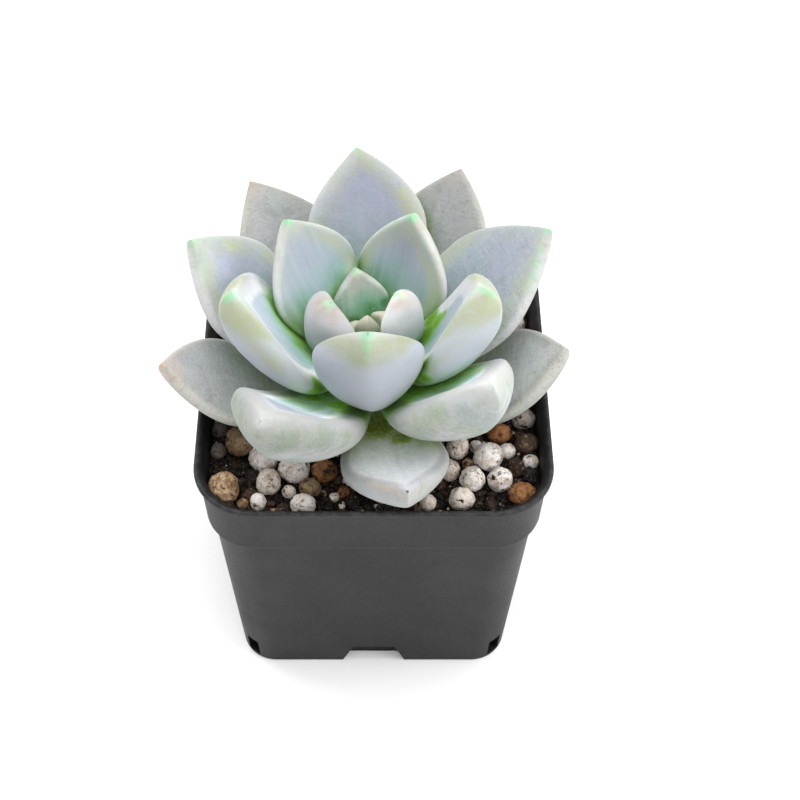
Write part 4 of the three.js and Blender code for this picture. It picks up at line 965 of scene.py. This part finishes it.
def block(name, hb, ht, h, y0, y1, side, base=-1.0):
    sl = (hb - ht) / h
    pts = [(-(hb - sl * base), base), (hb - sl * base, base), (ht, h), (-ht, h)]
    V = [(x, -y, z) for y in (y0, y1) for x, z in pts]
    ang = side * math.pi / 2
    V = [(x * math.cos(ang) - y * math.sin(ang), x * math.sin(ang) + y * math.cos(ang), z) for x, y, z in V]
    F = [(0, 1, 2, 3), (7, 6, 5, 4), (0, 4, 5, 1), (1, 5, 6, 2), (2, 6, 7, 3), (3, 7, 4, 0)]
    ob = new_object(name, np.array(V), F, smooth=False)
    return ob


def corner_slot(side):
    V = []
    a = math.radians(SLOT_ANGLES[side])
    c = BODY_LOW / 2 - BODY_LOW_R
    cx, cy = c * (1 if side in (0, 3) else -1), c * (1 if side < 2 else -1)
    for x in (BODY_LOW_R - 2.0, BODY_LOW_R + 2.0):
        for y in (-SLOT[0] / 2, SLOT[0] / 2):
            for z in SLOT[1:]:
                V.append((cx + x * math.cos(a) - y * math.sin(a), cy + x * math.sin(a) + y * math.cos(a), z))
    F = [(0, 1, 3, 2), (4, 6, 7, 5), (0, 4, 5, 1), (2, 3, 7, 6), (0, 2, 6, 4), (1, 5, 7, 3)]
    return new_object(f"slot_tool_{side}", np.array(V), F, smooth=False)


def fix_normals(ob):
    import bmesh

    bm = bmesh.new()
    bm.from_mesh(ob.data)
    bmesh.ops.recalc_face_normals(bm, faces=bm.faces)
    if bm.calc_volume(signed=True) < 0:
        bmesh.ops.reverse_faces(bm, faces=bm.faces)
    bm.to_mesh(ob.data)
    bm.free()


def boolean(ob, tools, op):
    fix_normals(ob)
    for t in tools:
        fix_normals(t)
        mod = ob.modifiers.new("b", "BOOLEAN")
        mod.operation = op
        mod.solver = "EXACT"
        mod.object = t
    dg = bpy.context.evaluated_depsgraph_get()
    me = bpy.data.meshes.new_from_object(ob.evaluated_get(dg))
    ob.modifiers.clear()
    ob.data = me
    for t in tools:
        bpy.data.objects.remove(t)


hb, ht, hh, hd = NOTCH[0] / 2, NOTCH[1] / 2, NOTCH[2], NOTCH[3]
half = BODY_LOW / 2
boolean(pot, [cavity], "DIFFERENCE")
boolean(pot, [block(f"cover_tool_{k}", hb + WALL, ht + WALL, hh + WALL, half - hd - WALL, half - 0.6, k, 0.2) for k in range(4)], "UNION")
boolean(pot, [block(f"notch_tool_{k}", hb, ht, hh, half - hd, half + 4, k) for k in range(4)] + [corner_slot(k) for k in range(4)], "DIFFERENCE")
pot.data.polygons.foreach_set("use_smooth", np.ones(len(pot.data.polygons), bool))
pot.data.set_sharp_from_angle(angle=math.radians(38))
co = np.zeros(len(pot.data.vertices) * 3, np.float32)
pot.data.vertices.foreach_get("co", co)
co = co.reshape(-1, 3).astype(float) / MM


def depth_in_wall(x, y, z):
    """How far a point lies inside the pot's outer surface, in mm."""
    f = max(0.0, min(1.0, z / (zb - 0.3)))
    w, r = BODY_LOW + (BODY_TOP - BODY_LOW) * f, BODY_LOW_R + (BODY_TOP_R - BODY_LOW_R) * f
    c = w / 2 - r
    dx, dy = abs(x) - c, abs(y) - c
    if dx > 0 and dy > 0:
        return r - math.hypot(dx, dy)
    return w / 2 - max(abs(x), abs(y))


# places deep in the drain slots, to be painted near black as shade
painted_recess_shade = [1.0 if (z < SLOT[2] + 0.3 and depth_in_wall(x, y, z) > 0.75 and z > -0.5) else 0.0 for x, y, z in co]
set_attr(pot, "painted_recess_shade", painted_recess_shade)
pot.data.materials.clear()
pot.data.materials.append(MATS["pot"])
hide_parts("pot")
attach(pot, "root")


# ------------------------------------------------------------------ growing mix
def inside_width(z):
    z0, w0 = zb + 1.1, COLLAR_LOW - 2 * WALL + 0.05
    z1, w1 = lip0, COLLAR_TOP - 2 * WALL
    if z >= z0:
        return w0 + (w1 - w0) * (z - z0) / (z1 - z0)
    b0, bw0 = FLOOR_T, BODY_LOW - 2 * WALL + 0.2
    b1, bw1 = zb - 1.0, BODY_TOP - 2 * WALL
    if z <= b1:
        return bw0 + (bw1 - bw0) * (z - b0) / (b1 - b0)
    return bw1 + (w0 - bw1) * (z - b1) / (z0 - b1)


def fbm(x, y, z, octaves, scale):
    v, amp, tot = 0.0, 1.0, 0.0
    for _ in range(octaves):
        v += amp * noise.noise(Vector((x * scale, y * scale, z * scale)))
        tot += amp
        amp *= 0.55
        scale *= 2.1
    return v / tot


pel = np.array([[x, y, z, r] for _, x, y, z, r, _ in PEBBLES])


def soil_height(x, y):
    h = SOIL_TOP + 0.55 * fbm(x, y, 3.0, 3, 0.22)
    d = noise.voronoi(Vector((x * 0.75, y * 0.75, 1.0)))[0]
    h += 0.45 * max(0.0, 0.75 - d[0]) - 0.25 * max(0.0, 0.16 - (d[1] - d[0])) * 4
    h += 0.22 * fbm(x, y, 9.0, 3, 1.6)
    return h


steps, sides_n = ((20, 44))
rings_n = 92
w_top = inside_width(SOIL_TOP) - 0.3
outline = rounded_square(w_top, COLLAR_LOW_R - WALL - 0.2, 0, steps, sides_n)
k = len(outline)
verts, rows = [], []
for i in range(rings_n):
    f = 1 - i / rings_n
    f = f**0.85
    for x, y, _ in outline:
        px, py = x * f, y * f
        verts.append((px, py, soil_height(px, py) if i else soil_height(px, py) - 0.15))
centre = len(verts)
verts.append((0, 0, soil_height(0, 0)))
faces = []
for i in range(rings_n - 1):
    for j in range(k):
        j2 = (j + 1) % k
        faces.append((i * k + j, i * k + j2, (i + 1) * k + j2, (i + 1) * k + j))
for j in range(k):
    faces.append(((rings_n - 1) * k + j, (rings_n - 1) * k + (j + 1) % k, centre))
# side and underside, following the pot's inside
prev = 0
for z in (zb + 1.2, zb - 1.1, FLOOR_T + 0.3):
    w = inside_width(z) - 0.6
    ring = rounded_square(w, (COLLAR_LOW_R if z > zb else BODY_TOP_R if z > 20 else BODY_LOW_R) - WALL - 0.3, z, steps, sides_n)
    o = len(verts)
    verts += [tuple(q) for q in ring]
    for j in range(k):
        j2 = (j + 1) % k
        faces.append((prev + j2, prev + j, o + j, o + j2))
    prev = o
bottom = len(verts)
verts.append((0, 0, FLOOR_T + 0.3))
for j in range(k):
    faces.append((prev + (j + 1) % k, prev + j, bottom))
soil = new_object("growing_mix_bed", np.array(verts), faces)
fix_normals(soil)
notches = [block(f"room_tool_{q}", hb + WALL + 0.3, ht + WALL + 0.3, hh + WALL + 0.3, half - hd - WALL - 0.3, half + 2, q) for q in range(4)]
boolean(soil, notches, "DIFFERENCE")
soil.data.polygons.foreach_set("use_smooth", np.ones(len(soil.data.polygons), bool))
soil.data.materials.clear()
soil.data.materials.append(MATS["soil"])
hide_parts("soil")
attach(soil, "root")


# ------------------------------------------------------------------ pellets and crumbs
import bmesh


def ico(sub):
    bm = bmesh.new()
    bmesh.ops.create_icosphere(bm, subdivisions=sub, radius=1.0)
    V = np.array([v.co[:] for v in bm.verts])
    F = np.array([[v.index for v in f.verts] for f in bm.faces])
    bm.free()
    return V, F


ICO = {n: ico(n) for n in (((2, 3, 4, 5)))}


def pellet(r, seed, sub, lump=1.0, pits=1.0):
    """An uneven porous grain: vertices (mm) and how deep in a pit each one is."""
    V, F = ICO[sub]
    out = np.zeros_like(V)
    pit = np.zeros(len(V))
    rnd = random.Random(seed)
    ax = [1 + rnd.uniform(-0.07, 0.07) * lump for _ in range(3)]
    ox, oy, oz = rnd.uniform(0, 40), rnd.uniform(0, 40), rnd.uniform(0, 40)
    holes = []
    for _ in range(rnd.choice((3, 4, 5, 6)) + (2 if r > 2.4 else 0)):
        d = Vector((rnd.gauss(0, 1), rnd.gauss(0, 1) - 0.5, rnd.gauss(0, 1) + 0.6)).normalized()
        holes.append((d, rnd.choice((0.12, 0.15, 0.18, 0.24, 0.34, 0.46)) / r, rnd.uniform(0.5, 1.0)))
    for i, v in enumerate(V):
        q = Vector(v)
        low = noise.noise(q * 1.2 + Vector((ox, oy, oz)))
        mid = noise.noise(q * 2.9 + Vector((oy, oz, ox)))
        high = noise.noise(q * 7.0 + Vector((oz, ox, oy)))
        tiny = noise.noise(q * 15.0 + Vector((oy, ox, oz)))
        k = 1 + 0.085 * lump * low + 0.06 * lump * mid + 0.028 * lump * high + 0.014 * lump * tiny
        if pits > 0:
            dep = 0.0
            for d, size, deep in holes:
                far = (q - d).length / (size * (1 + 0.9 * mid + 1.5 * high + 0.9 * tiny))
                if 0 < far < 1.3:
                    dep = max(dep, deep * min(1.0, (1.3 - far) * 1.6))
            pit[i] = dep * pits
            k -= min(0.16, 0.30 / r) * dep * pits
        out[i] = (v[0] * k * ax[0] * r, v[1] * k * ax[1] * r, v[2] * k * ax[2] * r * 0.96)
    return out, F, pit


def crumb(r, seed, sub):
    """A small angular lump of growing mix."""
    V, F = ICO[sub]
    out = np.zeros_like(V)
    rnd = random.Random(seed)
    ax = [rnd.uniform(0.7, 1.25), rnd.uniform(0.7, 1.25), rnd.uniform(0.6, 1.0)]
    ox, oy, oz = rnd.uniform(0, 40), rnd.uniform(0, 40), rnd.uniform(0, 40)
    for i, v in enumerate(V):
        q = Vector(v)
        low = noise.noise(q * 1.3 + Vector((ox, oy, oz)))
        cell = noise.voronoi(q * 1.9 + Vector((oz, ox, oy)))[0]
        k = 1 + 0.42 * low + 0.55 * (cell[1] - cell[0] - 0.25) + 0.16 * noise.noise(q * 5.0 + Vector((oy, oz, ox)))
        out[i] = (v[0] * k * ax[0] * r, v[1] * k * ax[1] * r, v[2] * k * ax[2] * r)
    return out, F, np.zeros(len(V))


# darker or duller grains than their kind: partly their own tone, partly painted shade on the white grains at the front
# left, under the leaves
SHADE = {"pebble_01": 0.55, "pebble_02": 0.47, "pebble_03": 0.75, "pebble_04": 0.82, "pebble_05": 0.88, "pebble_06": 0.95, "pebble_07": 0.86, "pebble_08": 0.92,
         "pebble_11": 0.55, "pebble_12": 0.95, "pebble_15": 0.85, "pebble_19": 1, "pebble_20": 0.6, "pebble_22": 0.9, "pebble_28": 0.7}
for i, (name, x, y, z, r, kind) in enumerate(PEBBLES):
    sub = 5 if (r > 2.2 and y < 10) else 4
    V, F, pit = pellet(r * 1.03, 100 + i, sub, 1.7 if kind in ("tan", "rust") else 1.1, {"white": 1.0, "pink": 1.0, "tan": 0.8, "rust": 0.8, "grey": 0.6}[kind])
    V = V + np.array([x, y, max(z, SOIL_TOP + 0.25 * r)])
    ob = new_object(name + "_grain", V, F)
    set_attr(ob, "pit", pit)
    set_attr(ob, "rnd", np.full(len(V), (i * 0.37) % 1.0))
    set_attr(ob, "shade", np.full(len(V), SHADE.get(name, 1.0)))
    ob.data.materials.append(MATS[{"pebble_19": "clod", "pebble_02": "tan"}.get(name, kind)])
    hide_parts(name)
    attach(ob, "root")


class Heap:
    """Many small grains in one piece."""

    def __init__(self):
        self.V, self.F, self.pit, self.rnd, self.n = [], [], [], [], 0

    def add(self, V, F, pit, rnd):
        self.V.append(V)
        self.F.append(F + self.n)
        self.pit.append(pit)
        self.rnd.append(np.full(len(V), rnd))
        self.n += len(V)

    def make(self, name, mat, slot):
        if not self.V:
            return None
        ob = new_object(name, np.concatenate(self.V), np.concatenate(self.F))
        set_attr(ob, "pit", np.concatenate(self.pit))
        set_attr(ob, "rnd", np.concatenate(self.rnd))
        set_attr(ob, "shade", np.ones(len(ob.data.vertices)))
        ob.data.materials.append(mat)
        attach(ob, "root")
        return ob


placed = [(x, y, z, r) for _, x, y, z, r, _ in PEBBLES]
rng = random.Random(11)


def room_at(x, y, r, gap=0.0):
    h = inside_width(SOIL_TOP + 0.5) / 2 - r - 0.2
    if abs(x) > h or abs(y) > h:
        return False
    rc = max(0.5, COLLAR_LOW_R - WALL - r)
    cx = h - rc
    if abs(x) > cx and abs(y) > cx and math.hypot(abs(x) - cx, abs(y) - cx) > rc:
        return False
    if math.hypot(x - AXIS[0], y - AXIS[1]) < 5.0 + r:
        return False
    return all(math.hypot(x - a, y - b) > (r + c) * 0.93 + gap for a, b, _, c in placed)


heaps = {kk: Heap() for kk in ("white", "pink", "tan", "rust", "grey", "crumb")}
# pellets where the leaves hide the bed from the front: back, sides and middle
fill = []
for n_try in range(2600):
    x, y = rng.uniform(-33, 33), rng.uniform(-33, 33)
    r = rng.choice((1.2, 1.5, 1.8, 2.1, 2.4, 2.7))
    front = y < -9 and (abs(x) > 6 or y < -26)
    seen_side = abs(x) > 23 and y < 2
    if front or seen_side:
        continue
    if room_at(x, y, r):
        placed.append((x, y, SOIL_TOP + 0.5 * r, r))
        fill.append((x, y, r, rng.choice(("white", "white", "pink", "white", "pink", "tan", "rust", "grey"))))
for n, (x, y, r, kind) in enumerate(fill):
    V, F, pit = pellet(r, 500 + n, 3, 1.3)
    V = V + np.array([x, y, soil_height(x, y) + 0.45 * r])
    heaps[kind].add(V, F, pit, rng.random())
# small crumbs everywhere between the pellets
crumbs = []
for n_try in range(7000):
    x, y = rng.uniform(-33, 33), rng.uniform(-33, 33)
    r = rng.choice((0.35, 0.45, 0.6, 0.75, 0.95, 1.2, 1.5, 1.9))
    if room_at(x, y, r * 0.75):
        if r > 0.9:
            placed.append((x, y, SOIL_TOP, r))
        crumbs.append((x, y, r))
for n, (x, y, r) in enumerate(crumbs):
    V, F, pit = crumb(r, 3000 + n, 3 if (r > 0.9 and y < -8) else 2)
    V = V + np.array([x, y, soil_height(x, y) + 0.25 * r])
    u = rng.random()
    kind = "crumb" if (u < 0.84 or r > 1.0) else ("tan" if u < 0.92 else "pink")
    heaps[kind].add(V, F, pit, rng.random())
for kk, hp in heaps.items():
    hp.make({"crumb": "mix_crumbs"}.get(kk, "fine_gravel_" + kk), MATS[kk], "growing_mix" if kk == "crumb" else "pellet_" + kk)

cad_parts["stem"].data.materials.clear()
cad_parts["stem"].data.materials.append(MATS["stem"])

# ------------------------------------------------------------------ floor, light, camera
m, nt, bsdf = material("floor_look")
q = N(nt)
g = q.noise(q.obj(), 3.0, 3.0, 0.5)
nt.links.new(q.mix(g, (0.88, 0.88, 0.885), (0.90, 0.90, 0.90)), bsdf.inputs["Base Color"])
bsdf.inputs["Roughness"].default_value = 0.9
bsdf.inputs["Specular IOR Level"].default_value = 0.1
bsdf.inputs["Emission Color"].default_value = (1, 1, 1, 1)
bsdf.inputs["Emission Strength"].default_value = 0.06
floor = new_object("floor", np.array([(-3000, -3000, 0), (3000, -3000, 0), (3000, 3000, 0), (-3000, 3000, 0)]) - np.array([0, 0, 0.02]), [(0, 1, 2, 3)], smooth=False)
floor.data.materials.append(m)

world = bpy.data.worlds.new("studio")
scene.world = world
world.use_nodes = True
bg = world.node_tree.nodes["Background"]
bg.inputs[0].default_value = (1.0, 1.0, 1.0, 1)
bg.inputs[1].default_value = 0.70


def area(name, loc, target, size, power, colour=(1, 1, 1)):
    li = bpy.data.lights.new(name, "AREA")
    li.shape = "RECTANGLE"
    li.size, li.size_y = size
    li.energy = power
    li.color = colour
    ob = bpy.data.objects.new(name, li)
    ob.location = Vector(loc)
    ob.rotation_euler = (Vector(target) - Vector(loc)).to_track_quat("-Z", "Y").to_euler()
    coll.objects.link(ob)
    return ob


area("camera_softbox", (0.0, -0.42, 0.62), (0, 0, 0.055), (0.45, 0.45), 1.05)
area("high_softbox", (0.0, 0.05, 0.80), (0, 0, 0.055), (0.5, 0.5), 3.3)
area("right_softbox", (0.62, -0.15, 0.42), (0, 0, 0.055), (0.5, 0.5), 3.2)
area("back_right_softbox", (0.45, 0.35, 0.50), (0, 0, 0.055), (0.45, 0.45), 0.8)
area("back_left_softbox", (-0.45, 0.35, 0.50), (0, 0, 0.055), (0.45, 0.45), 2.2)

CAM = Vector((0.0, -0.2108409, 0.3162868))
cam_data = bpy.data.cameras.new("camera")
cam_data.sensor_fit = "HORIZONTAL"
cam_data.sensor_width = 36.0
cam_data.lens = 1614.96 / 800 * 36.0
cam_data.shift_x = 26.3 / 800
cam_data.clip_start = 0.01
cam = bpy.data.objects.new("camera", cam_data)
cam.location = CAM
cam.rotation_euler = (math.radians(90 - 50.94741), 0, 0)
coll.objects.link(cam)
scene.camera = cam
scene.view_settings.view_transform = "Standard"
scene.view_settings.look = "None"

bpy.context.view_layer.update()
